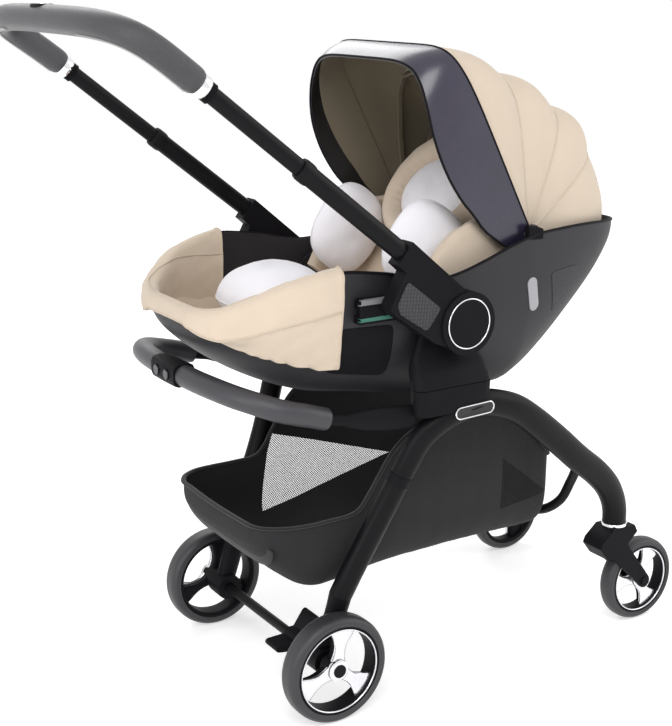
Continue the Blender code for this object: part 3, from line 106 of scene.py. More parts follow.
# Shell: its wall, bosses round the hub, pins of the canopy, hinge blocks on the rim and belt guides
SHELL_WALL = 0.0050
BOSS_R, BOSS_Y = 0.0360, (0.1790, 0.1966)
PIN_R, PIN_Y = 0.0060, (0.1860, 0.1480)
HINGE_X, HINGE_Y, HINGE_Z = (0.2165, 0.2450), (0.1786, 0.1890), (0.6960, 0.7170)
GUIDE_X, GUIDE_FACE_Y = (-0.0965, -0.0215), 0.2050
GUIDE_CAP_Z, GUIDE_STRIPE_Z = (0.6360, 0.6440), (0.6120, 0.6175)
# Seat pad and backrest
SEAT_TOP, SEAT_CROWN = 0.5580, 0.0100
BACK_FOOT = np.array((0.1000, 0.0, 0.5688))
BACK_TOP = np.array((0.2716, 0.0, 0.7965))
# Canopy: its pivot as (x, z), its cloth, and the visor with the eyes that it turns on
CANOPY = (0.2350, 0.7000)
CANOPY_PIVOT = np.array((CANOPY[0] - MIDDLE_X, 0.0, CANOPY[1]))
CLOTH_T = 0.0020
VISOR_HALF, VISOR_T = 0.1730, 0.0030
VISOR_R, VISOR_REACH = 0.3210, 0.0100
EYE_Y = 0.1710
# Loose cushions and foot cover: sizes along, across and up, and places from the backrest's foot
COVER_END_X = -0.1210
BOLSTER_SIZE = (0.0720, 0.0690, 0.0290)
BOLSTER_PLACE = {"along": 0.0801, "forward": 0.0838, "side": 0.1076}
LEG_PAD_SIZE = (0.0790, 0.0930, 0.0480)
LEG_PAD_PLACE = (-0.1230, 0, 0.6179)
HEAD_ALONG, HEAD_FORWARD = 0.1930, 0.0300 * math.cos(math.pi / 10) + 0.0043
HEAD_RING = (0.0840, 0.1020)
HEAD_RING_THICK = (0.0176, 0.0290)
HEAD_PAD_SIZE = (0.0650, 0.0830, 0.0228)
PAD_SWELL = 0.0018

# Open net in the basket: past which y, then for each side the three (x, z) corners of its window
NET_FROM_Y = 0.118
NET_WINDOWS = (
    (1.0, [(-0.0450, 0.3380), (-0.0680, 0.2060), (0.2000, 0.2590)]),
    (-1.0, [(0.2050, 0.3400), (0.2080, 0.2500), (0.3080, 0.2600)]),
)
# Plates on the shell and the arm: ends of the reflector, corners of the others, as (x, z) or along and above
REFLECTOR_ENDS = ((0.2345, 0.5932), (0.2268, 0.6279))
HEAD_VENT = ((0.2680, 0.6400), (0.3350, 0.6440), (0.3200, 0.5850), (0.2850, 0.5700))
SIDE_PANEL = ((-0.1650, 0.6020), (-0.0300, 0.5980), (-0.0300, 0.5150), (-0.1300, 0.5330))
ARM_PAD = ((0.0560, -0.0470), (0.1130, -0.0520), (0.1240, -0.0440), (0.1300, -0.0080), (0.0560, -0.0080))

# Middle line of one side's arch, from the foot's joint up over the crown to the castor
ARCH = (
    (-0.1075, 0.1668, 0.1830), (-0.0905, 0.1735, 0.2220), (-0.0700, 0.1800, 0.2640),
    (-0.0500, 0.1870, 0.3050), (-0.0320, 0.1950, 0.3450), (-0.0150, 0.2053, 0.3870),
    (0.0030, 0.2150, 0.4250), (0.0300, 0.2225, 0.4495), (0.0680, 0.2249, 0.4635),
    (0.1050, 0.2249, 0.4670), (0.1420, 0.2240, 0.4590), (0.1760, 0.2225, 0.4450),
    (0.2150, 0.2180, 0.4188), (0.2745, 0.2090, 0.3728), (0.3256, 0.2010, 0.3308),
    (0.3720, 0.1935, 0.2960), (0.4048, 0.1875, 0.2656), (0.4248, 0.1830, 0.2368),
    (0.4343, 0.1800, 0.2120), (0.4358, 0.1795, 0.1905),
)
# Half depth and half width of the arch's tube, by the share of its length
ARCH_DEEP = ((0.0, 0.0185), (0.25, 0.0185), (0.45, 0.0208), (0.65, 0.0226), (1.0, 0.0226))
ARCH_WIDE = ((0.0, 0.0165), (0.25, 0.0165), (0.45, 0.0170), (1.0, 0.0170))
# Carry bar's middle line from one dock to the middle
BAR = (
    (-0.0120, 0.2140, 0.4625), (-0.0850, 0.2115, 0.4690), (-0.1480, 0.2095, 0.4796),
    (-0.1900, 0.2085, 0.4925), (-0.2143, 0.2045, 0.4993), (-0.2360, 0.1950, 0.5060),
    (-0.2560, 0.1760, 0.5130), (-0.2720, 0.1500, 0.5180), (-0.2830, 0.1160, 0.5215),
    (-0.2890, 0.0800, 0.5230), (-0.2925, 0.0400, 0.5240), (-0.2936, 0.0000, 0.5240),
)
# Basket's hoop from one post to its middle: distance past its rest on the basket, half width, height
HOOP = (
    (0.0042, 0.1920, 0.3080), (0.0140, 0.1680, 0.2750), (0.0160, 0.1430, 0.2350), (0.0080, 0.1080, 0.2080),
    (0.0015, 0.0550, 0.1980), (0.0003, 0.0, 0.1960),
)
# Basket ribs from back to front: x, half width, edge height, floor height
BASKET = (
    (-0.2300, 0.1050, 0.3020, 0.2680), (-0.2180, 0.1300, 0.3020, 0.2490), (-0.1900, 0.1480, 0.3020, 0.2200),
    (-0.1550, 0.1540, 0.3010, 0.1900), (-0.1200, 0.1540, 0.3010, 0.1770), (-0.0700, 0.1540, 0.3050, 0.1800),
    (-0.0450, 0.1550, 0.3350, 0.1810), (0.0000, 0.1590, 0.4000, 0.1850), (0.0600, 0.1610, 0.4300, 0.1860),
    (0.1250, 0.1610, 0.4350, 0.1870), (0.1900, 0.1600, 0.4200, 0.1870), (0.2500, 0.1560, 0.3850, 0.1860),
    (0.2980, 0.1500, 0.3400, 0.1860), (0.3205, 0.1330, 0.3180, 0.1880),
)
# Seat shell ribs from foot to head: x, half width, rim height, bottom height, roundness
SHELL = (
    (-0.2930, 0.0620, 0.6230, 0.5920, 2.5), (-0.2840, 0.0940, 0.6255, 0.5770, 2.5),
    (-0.2710, 0.1180, 0.6310, 0.5640, 2.6), (-0.2470, 0.1430, 0.6440, 0.5440, 2.8),
    (-0.2150, 0.1640, 0.6610, 0.5220, 3.0), (-0.1700, 0.1800, 0.6750, 0.5000, 3.2),
    (-0.1200, 0.1870, 0.6830, 0.4830, 3.4), (-0.0500, 0.1895, 0.6750, 0.4710, 3.4),
    (0.0600, 0.1920, 0.6570, 0.4530, 3.5), (0.2000, 0.1900, 0.6960, 0.4430, 3.4),
    (0.2400, 0.1880, 0.7045, 0.4480, 3.2), (0.2900, 0.1820, 0.7070, 0.4760, 2.9),
    (0.3450, 0.1715, 0.7070, 0.5220, 2.7), (0.3950, 0.1560, 0.7040, 0.5710, 2.6),
    (0.4350, 0.1330, 0.7000, 0.6190, 2.6), (0.4570, 0.1085, 0.6970, 0.6450, 2.6),
    (0.4720, 0.0800, 0.6940, 0.6630, 2.6), (0.4840, 0.0350, 0.6920, 0.6790, 2.6),
)
# Cover's section folded over the rim: outwards, upwards, share of its drop outside and of its depth inside
HEM = (
    (0.0080, 0.0, 1.0, 0.0), (0.0112, 0.0, 0.80, 0.0), (0.0124, 0.0, 0.45, 0.0), (0.0116, -0.0030, 0.0, 0.0),
    (0.0056, 0.0052, 0.0, 0.0), (-0.0060, 0.0068, 0.0, 0.0), (-0.0145, 0.0010, 0.0, 0.0),
    (-0.0165, 0.0, 0.0, 0.4), (-0.0085, 0.0, 0.0, 1.0), (-0.0030, 0.0, 0.0, 0.9),
)
# Backrest from foot to top: share of its length, half width, how far its wings stand forward
BACK = (
    (0.00, 0.1560, 0.0860), (0.20, 0.1580, 0.0920), (0.40, 0.1580, 0.0860), (0.50, 0.1580, 0.0700),
    (0.58, 0.1420, 0.0420), (0.68, 0.1400, 0.0180), (0.80, 0.1300, 0.0140), (1.00, 0.1000, 0.0140),
)
# Visor's front edge: share of its reach from the pivot line, and the angle there
VISOR_FRONT = (
    (0.00, 225.0), (0.12, 205.0), (0.21, 180.0), (0.36, 160.5), (0.52, 151.0), (0.64, 144.5), (0.72, 140.3),
    (0.83, 134.2), (0.91, 130.2), (0.965, 128.0), (1.00, 127.3),
)
# Hoops that the cloth is sewn to, from the visor back: angle, radius, half width, squareness
SEAMS = (
    (118.0, 0.3180, 0.1715, 8.0), (97.0, 0.2400, 0.1630, 6.0), (69.5, 0.2010, 0.1630, 6.0),
    (40.0, 0.1880, 0.1630, 6.0), (-3.0, 0.2340, 0.1660, 2.5),
)
# How far each gore swells between its seams, and where along it the swell is highest
BILLOWS = ((0.0085, 0.60), (0.0105, 0.50), (0.0200, 0.52), (-0.0140, 0.50))
# Lamps of the stage: name, place, the place it faces, width, power
LAMPS = (
    ("key", (-1.6, -2.6, 3.2), (0.0, 0.0, 0.55), 1.9, 58.0),
    ("fill", (2.9, -1.6, 2.0), (0.1, 0.0, 0.5), 2.2, 26.0),
    ("back", (0.6, 2.8, 2.7), (0.0, 0.0, 0.6), 2.0, 30.0),
    ("inside", (-2.8, -0.9, 1.3), (0.15, 0.0, 0.78), 1.2, 20.0),
)
CAMERA_PLACE = (-1.1341, -1.7803, 1.0817)
CAMERA_DOWN, CAMERA_TURN = 15.6388, -32.2768
CAMERA_LENS, CAMERA_SENSOR = 68.6, 36.0
FLOOR_REACH = 7.0


class PramColours(PropertyGroup):
    """Colours of the pram's finishes."""
    beige: FloatVectorProperty(name="Beige cloth", description="Canopy, cover and seat", subtype="COLOR",
                               default=(0.700, 0.584, 0.464), min=0.0, max=1.0)
    white: FloatVectorProperty(name="White jersey", description="Loose cushions", subtype="COLOR",
                               default=(0.940, 0.925, 0.970), min=0.0, max=1.0)
    lining: FloatVectorProperty(name="Canopy lining", description="Inside of the canopy", subtype="COLOR",
                                default=(0.190, 0.160, 0.112), min=0.0, max=1.0)
    plastic: FloatVectorProperty(name="Black plastic", description="Shell, arms and docks", subtype="COLOR",
                                 default=(0.0105, 0.0095, 0.0118), min=0.0, max=1.0)
    tube: FloatVectorProperty(name="Black tube", description="Painted legs and handle", subtype="COLOR",
                              default=(0.0092, 0.0086, 0.0102), min=0.0, max=1.0)
    visor: FloatVectorProperty(name="Visor", description="Satin peak of the canopy", subtype="COLOR",
                               default=(0.0215, 0.0175, 0.0380), min=0.0, max=1.0)
    rubber: FloatVectorProperty(name="Tyre", description="Foam tyres", subtype="COLOR",
                                default=(0.0300, 0.0285, 0.0320), min=0.0, max=1.0)
    foam: FloatVectorProperty(name="Grey foam", description="Carry bar's grips", subtype="COLOR",
                              default=(0.0400, 0.0385, 0.0450), min=0.0, max=1.0)
    leather: FloatVectorProperty(name="Grey leather", description="Push handle's grip", subtype="COLOR",
                                 default=(0.0480, 0.0460, 0.0520), min=0.0, max=1.0)


class PramSizes(PropertyGroup):
    """Sizes of the pram's finer details."""
    edges: FloatProperty(name="Edge softness", description="Scale of the rounding on moulded parts' edges",
                         default=1.0, min=0.2, max=2.0)
    piping: FloatProperty(name="Piping", description="Radius of the cloth's piping", default=0.0016,
                          min=0.0005, max=0.004, unit="LENGTH")
    thread: FloatProperty(name="Thread pitch", description="From one thread of the cloth to the next",
                          default=0.0016, min=0.0003, max=0.005, unit="LENGTH")
    pucker: FloatProperty(name="Pucker", description="Depth of the creases beside a seam", default=0.0012,
                          min=0.0, max=0.004, unit="LENGTH")
    stitches: IntProperty(name="Stitches", description="Stitches along each half of the grip", default=58,
                          min=4, max=200)


def colours():
    """The scene's own colours."""
    return bpy.context.scene.pram_colours


def sizes():
    """The scene's own fine sizes."""
    return bpy.context.scene.pram_sizes


# Surfaces

def place(points):
    """Points of the drawing, moved into the model's frame."""
    return np.asarray(points, float) - (MIDDLE_X, 0.0, 0.0)


def full_turn(count):
    """Angles spread evenly over one turn."""
    return np.linspace(0, 2 * math.pi, count, endpoint=False)


def curve_through(points, count, loop=False):
    """Catmull-Rom curve through the points, sampled evenly by its length."""
    pts = np.asarray(points, float)
    if loop:
        ends = np.vstack([pts[-1:], pts, pts[:2]])
    else:
        ends = np.vstack([2 * pts[:1] - pts[1:2], pts, 2 * pts[-1:] - pts[-2:-1]])
    a, b, c, d = (ends[k:len(ends) - 3 + k][:, None] for k in range(4))
    t = np.linspace(0, 1, 24, endpoint=False)[None, :, None]
    fine = 0.5 * (2 * b + (c - a) * t + (2 * a - 5 * b + 4 * c - d) * t ** 2
                  + (3 * b - a - 3 * c + d) * t ** 3)
    fine = np.vstack([fine.reshape(-1, pts.shape[1]), ends[-2:-1]])
    run = np.concatenate([[0], np.cumsum(np.linalg.norm(np.diff(fine, axis=0), axis=1))])
    want = np.linspace(0, run[-1], count, endpoint=not loop)
    return np.stack([np.interp(want, run, fine[:, k]) for k in range(pts.shape[1])], axis=1)


def oval(a, b, count=28):
    """Ellipse (a cos t, b sin t)."""
    turn = full_turn(count)
    return np.stack([a * np.cos(turn), b * np.sin(turn)], axis=1)


def directions(path, across, loop=False):
    """Unit tangents, ups and sides along a path: up = side x tangent, side square to the tangent."""
    if loop:
        tangent = np.roll(path, -1, axis=0) - np.roll(path, 1, axis=0)
    else:
        tangent = np.gradient(path, axis=0)
    tangent = tangent / np.linalg.norm(tangent, axis=1)[:, None]
    side = np.broadcast_to(np.asarray(across, float), path.shape)
    side = side - (side * tangent).sum(axis=1)[:, None] * tangent
    side = side / np.linalg.norm(side, axis=1)[:, None]
    return tangent, np.cross(side, tangent), side


def carried(path, section, across=(0, 1, 0), scale=None, loop=False):
    """Sweep: point = path + u * up + v * side for each (u, v) of the section, times a scale."""
    _, up, side = directions(path, across, loop)
    section = np.asarray(section, float)
    if section.ndim == 2:
        section = np.broadcast_to(section, (len(path),) + section.shape)
    if scale is not None:
        section = section * np.asarray(scale, float)[:, None, None]
    return path[:, None] + section[..., :1] * up[:, None] + section[..., 1:] * side[:, None]


def turned(profile, centre, axis="Y", count=72):
    """Surface of revolution: each (radius, height) of the profile turned about an axis."""
    turn = full_turn(count)
    profile = np.asarray(profile, float)
    r, h = profile[:, :1], np.repeat(profile[:, 1:], count, axis=1)
    u, v = r * np.cos(turn), r * np.sin(turn)
    rings = np.stack([u, h, v] if axis == "Y" else [u, v, h], axis=2)
    return rings + np.asarray(centre, float)


def round_ends(count, steps=5, least=0.72):
    """Scales along a sweep whose ends grow from the least scale to 1 on a quarter circle."""
    share = np.arange(1, steps + 1) / steps
    rise = least + (1 - least) * np.sqrt(1 - (1 - share) ** 2)
    scale = np.ones(count)
    scale[:steps] = np.minimum(scale[:steps], rise)
    scale[-steps:] = np.minimum(scale[-steps:], rise[::-1])
    return scale


class Form:
    """Grids of points gathered into one mesh, with texture places in metres."""

    def __init__(self):
        self.verts, self.faces, self.slots, self.places = [], [], [], []
        self.count = 0

    def grid(self, points, wrap=True, loop=False, caps=True, slot=0):
        """Rows by columns of points; wrap joins the last column to the first, and loop the last row."""
        points = np.asarray(points, float)
        rows, cols = points.shape[:2]
        r0 = np.arange(rows if loop else rows - 1)
        c0 = np.arange(cols if wrap else cols - 1)
        row, col = (grid.ravel() for grid in np.meshgrid(r0, c0, indexing="ij"))
        row_next, col_next = (row + 1) % rows, (col + 1) % cols
        quads = np.stack([row * cols + col, row * cols + col_next, row_next * cols + col_next,
                          row_next * cols + col], axis=1) + self.count
        across = np.linalg.norm(np.roll(points, -1, axis=1) - points, axis=2).mean(axis=0)
        along = np.linalg.norm(np.roll(points, -1, axis=0) - points, axis=2).mean(axis=1)
        u = np.concatenate([[0], np.cumsum(across)])
        v = np.concatenate([[0], np.cumsum(along)])
        corners = np.stack([np.stack([u[col], v[row]], 1), np.stack([u[col + 1], v[row]], 1),
                            np.stack([u[col + 1], v[row + 1]], 1), np.stack([u[col], v[row + 1]], 1)], axis=1)
        self.faces += quads.tolist()
        self.places += corners.reshape(-1, 2).tolist()
        self.slots += [slot] * len(quads)
        if caps and not loop:
            for first in (0, (rows - 1) * cols):
                self.faces.append([self.count + first + k for k in range(cols)])
                ring = points.reshape(-1, 3)[first:first + cols]
                self.places += (ring[:, [0, 2]] if np.ptp(ring[:, 0]) > 1e-4 else ring[:, [1, 2]]).tolist()
                self.slots.append(slot)
        self.verts += points.reshape(-1, 3).tolist()
        self.count += rows * cols
        return self

    def bridge(self, first, pairs, shift, slot=0):
        """Faces from each pair of neighbours on one skin's edge to the same pair a shift further on."""
        for a, b in pairs:
            self.faces.append([first + a, first + b, first + b + shift, first + a + shift])
            self.places += [[0.0, 0.0]] * 4
            self.slots.append(slot)
        return self

    def sheet(self, outer, inner, slots=(0, 0)):
        """Two skins of the same grid, joined round all their edges."""
        first = self.count
        rows, cols = outer.shape[:2]
        self.grid(outer, wrap=False, caps=False, slot=slots[0])
        self.grid(inner, wrap=False, caps=False, slot=slots[1])
        edge = (list(range(cols)) + [i * cols + cols - 1 for i in range(1, rows)]
                + [(rows - 1) * cols + k for k in range(cols - 2, -1, -1)]
                + [i * cols for i in range(rows - 2, 0, -1)])
        return self.bridge(first, zip(edge, edge[1:] + edge[:1]), rows * cols, slots[0])

    def tub(self, outer, inner):
        """Two skins of U-shaped ribs with closed ends, joined round their upper edge."""
        first = self.count
        rows, cols = outer.shape[:2]
        self.grid(outer, wrap=False).grid(inner, wrap=False)
        rim = [(i * cols + k, (i + 1) * cols + k) for i in range(rows - 1) for k in (0, cols - 1)]
        rim += [(0, cols - 1), ((rows - 1) * cols, rows * cols - 1)]
        return self.bridge(first, rim, rows * cols)

    def make(self, name, *materials, smooth=40.0):
        """Object of the gathered grids, its faces turned outwards, smooth up to an angle in degrees."""
        mesh = bpy.data.meshes.new(name)
        mesh.from_pydata(self.verts, [], self.faces)
        layer = mesh.uv_layers.new(name="cloth")
        layer.data.foreach_set("uv", np.asarray(self.places, np.float32).ravel())
        mesh.polygons.foreach_set("material_index", np.asarray(self.slots, np.int32))
        shape = bmesh.new()
        shape.from_mesh(mesh)
        bmesh.ops.recalc_face_normals(shape, faces=shape.faces)
        shape.to_mesh(mesh)
        shape.free()
        mesh.shade_smooth()
        mesh.set_sharp_from_angle(angle=math.radians(smooth))
        for item in materials:
            mesh.materials.append(item)
        piece = bpy.data.objects.new(name, mesh)
        bpy.context.scene.collection.objects.link(piece)
        return piece


def tube(path, r, across=(0, 1, 0), count=12, loop=False):
    """Round section of radius r carried along a path."""
    return carried(np.asarray(path, float), oval(r, r, count), across, loop=loop)


def shrunk(outline, levels):
    """Outline of a thin plate drawn in towards its middle, once for each level's share."""
    outline = np.asarray(outline, float)
    middle = outline.mean(axis=0)
    return middle + (outline - middle)[None] * np.asarray(levels, float)[:, None, None]


def settle(piece, body, *nodes, slot=None):
    """Ride on a body and stand for CAD nodes; the slot is not used."""
    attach(piece, body)
    if nodes:
        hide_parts(*nodes)
    return piece


def add(shape, name, material, body, *nodes, slot, smooth=40.0, loop=False):
    """Make a form, or one closed grid of points, into a piece of one finish and settle it on its body."""
    form = shape if isinstance(shape, Form) else Form().grid(shape, loop=loop)
    return settle(form.make(name, finish(material), smooth=smooth), body, *nodes, slot=slot)


def rounded_node(node, material, slot, width, angle=40.0):
    """A CAD node's own solid, its flat faces joined and its sharp edges rounded to a width."""
    shape = bmesh.new()
    shape.from_mesh(NODES[node].data)
    bmesh.ops.remove_doubles(shape, verts=shape.verts, dist=2e-6)
    bmesh.ops.dissolve_limit(shape, angle_limit=math.radians(1.0), verts=shape.verts, edges=shape.edges)
    mesh = bpy.data.meshes.new(f"{node}_skin")
    shape.to_mesh(mesh)
    shape.free()
    mesh.shade_smooth()
    mesh.set_sharp_from_angle(angle=math.radians(angle))
    mesh.materials.append(finish(material))
    piece = bpy.data.objects.new(f"{node}_skin", mesh)
    bpy.context.scene.collection.objects.link(piece)
    edge = piece.modifiers.new("edges", "BEVEL")
    edge.width = width * sizes().edges
    edge.segments = 3
    edge.limit_method = "ANGLE"
    edge.angle_limit = math.radians(angle)
    edge.harden_normals = True
    return settle(piece, BODY_OF[node], node, slot=slot)


def ripple(points, depth, pitch, seed):
    """Smooth unevenness: a sum of sines of the place, the same on every run."""
    angle = np.random.default_rng(seed).uniform(0, 2 * math.pi, 6)
    p = np.asarray(points, float) * (2 * math.pi / pitch)
    wave = (np.sin(p[..., 0] + 0.6 * p[..., 2] + angle[0]) * np.sin(1.3 * p[..., 1] + angle[1])
            + 0.6 * np.sin(1.7 * p[..., 2] - 0.8 * p[..., 0] + angle[2]) * np.sin(0.7 * p[..., 1] + angle[3])
            + 0.4 * np.sin(2.6 * p[..., 1] + 1.9 * p[..., 2] + angle[4]) * np.sin(2.2 * p[..., 0] + angle[5]))
    return depth * wave / 1.4


# Shader node groups and materials

def fill(tree, made, links):
    """Give a node's inputs their values or links."""
    for key, value in links.items():
        if isinstance(value, bpy.types.NodeSocket):
            tree.links.new(value, made.inputs[key])
        else:
            made.inputs[key].default_value = value
    return made


def node(tree, kind, links=None, **settings):
    """Add a node, set its settings and fill its inputs."""
    made = tree.nodes.new(kind)
    for key, value in settings.items():
        setattr(made, key, value)
    return fill(tree, made, links or {})


def math_node(tree, operation, *values):
    """Result of a named operation on up to three values or links."""
    return node(tree, "ShaderNodeMath", dict(enumerate(values)), operation=operation).outputs[0]


def noise(tree, where, scale, detail, roughness=0.5):
    """Noise between 0 and 1 over a place."""
    return node(tree, "ShaderNodeTexNoise", {"Vector": where, "Scale": scale, "Detail": detail,
                                             "Roughness": roughness}).outputs["Fac"]


def relief(tree, height, depth, strength):
    """Normal of a height between 0 and 1 that stands a depth in metres high."""
    return node(tree, "ShaderNodeBump",
                {"Height": height, "Distance": depth, "Strength": strength}).outputs["Normal"]


def spread_colour(tree, colour, spread, mask):
    """Colour darkened and lightened by a share as the mask goes from 0 to 1."""
    tone = node(tree, "ShaderNodeMapRange", {
        "Value": mask, "From Min": 0.25, "From Max": 0.75,
        "To Min": math_node(tree, "SUBTRACT", 1.0, spread), "To Max": math_node(tree, "ADD", 1.0, spread)})
    return node(tree, "ShaderNodeVectorMath", {0: colour, "Scale": tone.outputs[0]},
                operation="SCALE").outputs[0]


def new_group(name, amounts):
    """Node group from a place, a colour and named amounts to a colour, a roughness and a normal."""
    tree = bpy.data.node_groups.new(name, "ShaderNodeTree")
    socket = tree.interface.new_socket
    socket("Vector", in_out="INPUT", socket_type="NodeSocketVector")
    socket("Colour", in_out="INPUT", socket_type="NodeSocketColor")
    for label, value in amounts.items():
        socket(label, in_out="INPUT", socket_type="NodeSocketFloat").default_value = value
    for label, kind in (("Colour", "Color"), ("Roughness", "Float"), ("Normal", "Vector")):
        socket(label, in_out="OUTPUT", socket_type=f"NodeSocket{kind}")
    return tree, tree.nodes.new("NodeGroupInput").outputs, tree.nodes.new("NodeGroupOutput").inputs


def close_group(tree, out, colour, roughness, normal):
    """Send a group's three results to its outputs."""
    for label, value in (("Colour", colour), ("Roughness", roughness), ("Normal", normal)):
        tree.links.new(value, out[label])
    return tree


def grain_group():
    """Moulded or painted grain: fine noise for the relief, broad noise for tone and wiped gloss."""
    tree, given, out = new_group("Fine grain", {
        "Spread": 0.1, "Gloss": 0.4, "Gloss spread": 0.1, "Scale": 900.0, "Depth": 0.0001})
    fine = noise(tree, given["Vector"], given["Scale"], 3.0)
    broad = noise(tree, given["Vector"], 22.0, 5.0, 0.62)
    swing = math_node(tree, "SUBTRACT", broad, 0.5)
    return close_group(
        tree, out, spread_colour(tree, given["Colour"], given["Spread"], broad),
        math_node(tree, "MULTIPLY_ADD", swing, given["Gloss spread"], given["Gloss"]),
        relief(tree, fine, given["Depth"], 0.9))


def weave_group():
    """Plain weave: sine of warp times sine of weft, slubbed yarn, and a soft unevenness of tone."""
    tree, given, out = new_group("Plain weave", {"Spread": 0.08, "Pitch": 0.0016, "Depth": 0.0003})
    per_metre = math_node(tree, "DIVIDE", 2 * math.pi, given["Pitch"])
    scaled = node(tree, "ShaderNodeVectorMath", {0: given["Vector"], "Scale": per_metre}, operation="SCALE")
    warp, weft, _ = node(tree, "ShaderNodeSeparateXYZ", {0: scaled.outputs[0]}).outputs
    cross = math_node(tree, "MULTIPLY", math_node(tree, "SINE", warp), math_node(tree, "SINE", weft))
    slub = noise(tree, given["Vector"], 420.0, 4.0, 0.7)
    broad = noise(tree, given["Vector"], 14.0, 4.0)
    mask = math_node(tree, "MULTIPLY_ADD", broad, 0.4, math_node(tree, "MULTIPLY", slub, 0.6))
    rough = node(tree, "ShaderNodeMapRange", {"Value": mask, "To Min": 0.98, "To Max": 0.80})
    return close_group(
        tree, out, spread_colour(tree, given["Colour"], given["Spread"], mask), rough.outputs[0],
        relief(tree, math_node(tree, "MULTIPLY_ADD", cross, 0.5, slub), given["Depth"], 0.8))


def pebble_group():
    """Pebbled hide: cells of a Voronoi pattern with creases between them; the colour is darkened in the
    creases as painted shade, on top of a random tone.
    """
    tree, given, out = new_group("Pebbled hide", {
        "Spread": 0.1, "Gloss": 0.5, "Scale": 700.0, "Depth": 0.0003})
    cells = node(tree, "ShaderNodeTexVoronoi", {"Vector": given["Vector"], "Scale": given["Scale"]},
                 feature="DISTANCE_TO_EDGE")
    crease = node(tree, "ShaderNodeMapRange",
                  {"Value": cells.outputs["Distance"], "From Max": 0.25}).outputs[0]
    broad = noise(tree, given["Vector"], 30.0, 4.0)
    # Painted shade: the crease term darkens the colour towards the cell edges, in the creases; the broad
    # noise is random tone
    mask = math_node(tree, "MULTIPLY_ADD", broad, 0.5, math_node(tree, "MULTIPLY_ADD", crease, 0.35, 0.1))
    return close_group(
        tree, out, spread_colour(tree, given["Colour"], given["Spread"], mask),
        math_node(tree, "MULTIPLY_ADD", crease, -0.10, given["Gloss"]),
        relief(tree, crease, given["Depth"], 0.8))


GROUPS = {}
FINISHES = {}


def blank_material(name):
    """Material with its tree, its shader and the places that it can read."""
    made = bpy.data.materials.new(name)
    made.use_nodes = True
    tree = made.node_tree
    return made, tree, tree.nodes["Principled BSDF"], tree.nodes.new("ShaderNodeTexCoord").outputs


def grouped(name, builder, space, colour, amounts, settings):
    """Material that one group gives its colour, roughness and normal, with plain settings beside them."""
    made, tree, shader, coord = blank_material(name)
    if builder not in GROUPS:
        GROUPS[builder] = builder()
    group = tree.nodes.new("ShaderNodeGroup")
    group.node_tree = GROUPS[builder]
    fill(tree, group, {"Vector": coord[space], "Colour": (*colour, 1.0), **amounts})
    out = group.outputs
    fill(tree, shader, {"Base Color": out["Colour"], "Roughness": out["Roughness"], "Normal": out["Normal"],
                        **settings})
    FINISHES[name] = made
    return tree, shader, coord


def grained(name, colour, gloss, metallic=0.0, spread=0.10, gloss_spread=0.12, scale=900.0, depth=0.0001,
            coat=0.0, specular=0.5):
    """Plastic, paint, foam or metal with a fine grain."""
    grouped(name, grain_group, "Object", colour,
            {"Spread": spread, "Gloss": gloss, "Gloss spread": gloss_spread, "Scale": scale, "Depth": depth},
            {"Metallic": metallic, "Coat Weight": coat, "Coat Roughness": 0.25,
             "Specular IOR Level": specular})


def woven(name, colour, spread=0.07, pitch=None, depth=0.0003, sheen=0.25):
    """Cloth whose threads follow the piece's own texture places."""
    grouped(name, weave_group, "UV", colour,
            {"Spread": spread, "Pitch": pitch or sizes().thread, "Depth": depth},
            {"Sheen Weight": sheen, "Sheen Roughness": 0.45, "Specular IOR Level": 0.25})


def pebbled(name, colour, gloss, scale=700.0, depth=0.0003):
    """Pebbled leather."""
    grouped(name, pebble_group, "Object", colour,
            {"Spread": 0.16, "Gloss": gloss, "Scale": scale, "Depth": depth}, {})


def crossed_ridges(tree, x, z, per_metre, wave):
    """Product of two families of ridges, |wave(k (x + z))| times |wave(k (x - z))|."""
    families = []
    for sign in (1.0, -1.0):
        slant = math_node(tree, "MULTIPLY_ADD", z, sign, x)
        families.append(math_node(tree, "ABSOLUTE", math_node(tree, wave, math_node(
            tree, "MULTIPLY", slant, per_metre))))
    return math_node(tree, "MULTIPLY", *families)


def knurled(name, colour, pitch, gloss, depth, turn):
    """Diamonds pressed into plastic: two families of ridges crossing at a pitch in the side view; the colour
    is lightened on the ridges as a painted highlight and darkened in the grooves as painted shade.
    """
    made, tree, shader, coord = blank_material(name)
    turned_place = node(tree, "ShaderNodeMapping", {"Vector": coord["Object"], "Rotation": (0.0, turn, 0.0)})
    x, _, z = node(tree, "ShaderNodeSeparateXYZ", {0: turned_place.outputs[0]}).outputs
    height = crossed_ridges(tree, x, z, 2 * math.pi / pitch, "COSINE")
    plain = tree.nodes.new("ShaderNodeRGB").outputs[0]
    plain.default_value = (*colour, 1.0)
    # Painted highlight and shade: the base colour is lightened on the ridges and darkened in the grooves by
    # the relief's height
    fill(tree, shader, {"Base Color": spread_colour(tree, plain, 0.55, height), "Roughness": gloss,
                        "Normal": relief(tree, height, depth, 1.0)})
    FINISHES[name] = made


def net_window(tree, place_of, side, corners):
    """1 inside a triangle of the side view on one side of the basket, 0 elsewhere."""
    x, y, z = place_of
    inside = math_node(tree, "GREATER_THAN", math_node(tree, "MULTIPLY", y, side), NET_FROM_Y)
    for (x0, z0), (x1, z1) in zip(corners, corners[1:] + corners[:1]):
        dx, dz = x1 - x0, z1 - z0
        beside = math_node(tree, "MULTIPLY_ADD", z, dx, dz * (x0 - MIDDLE_X) - dx * z0)
        beside = math_node(tree, "MULTIPLY_ADD", x, -dz, beside)
        inside = math_node(tree, "MULTIPLY", inside, math_node(tree, "GREATER_THAN", beside, 0.0))
    return inside


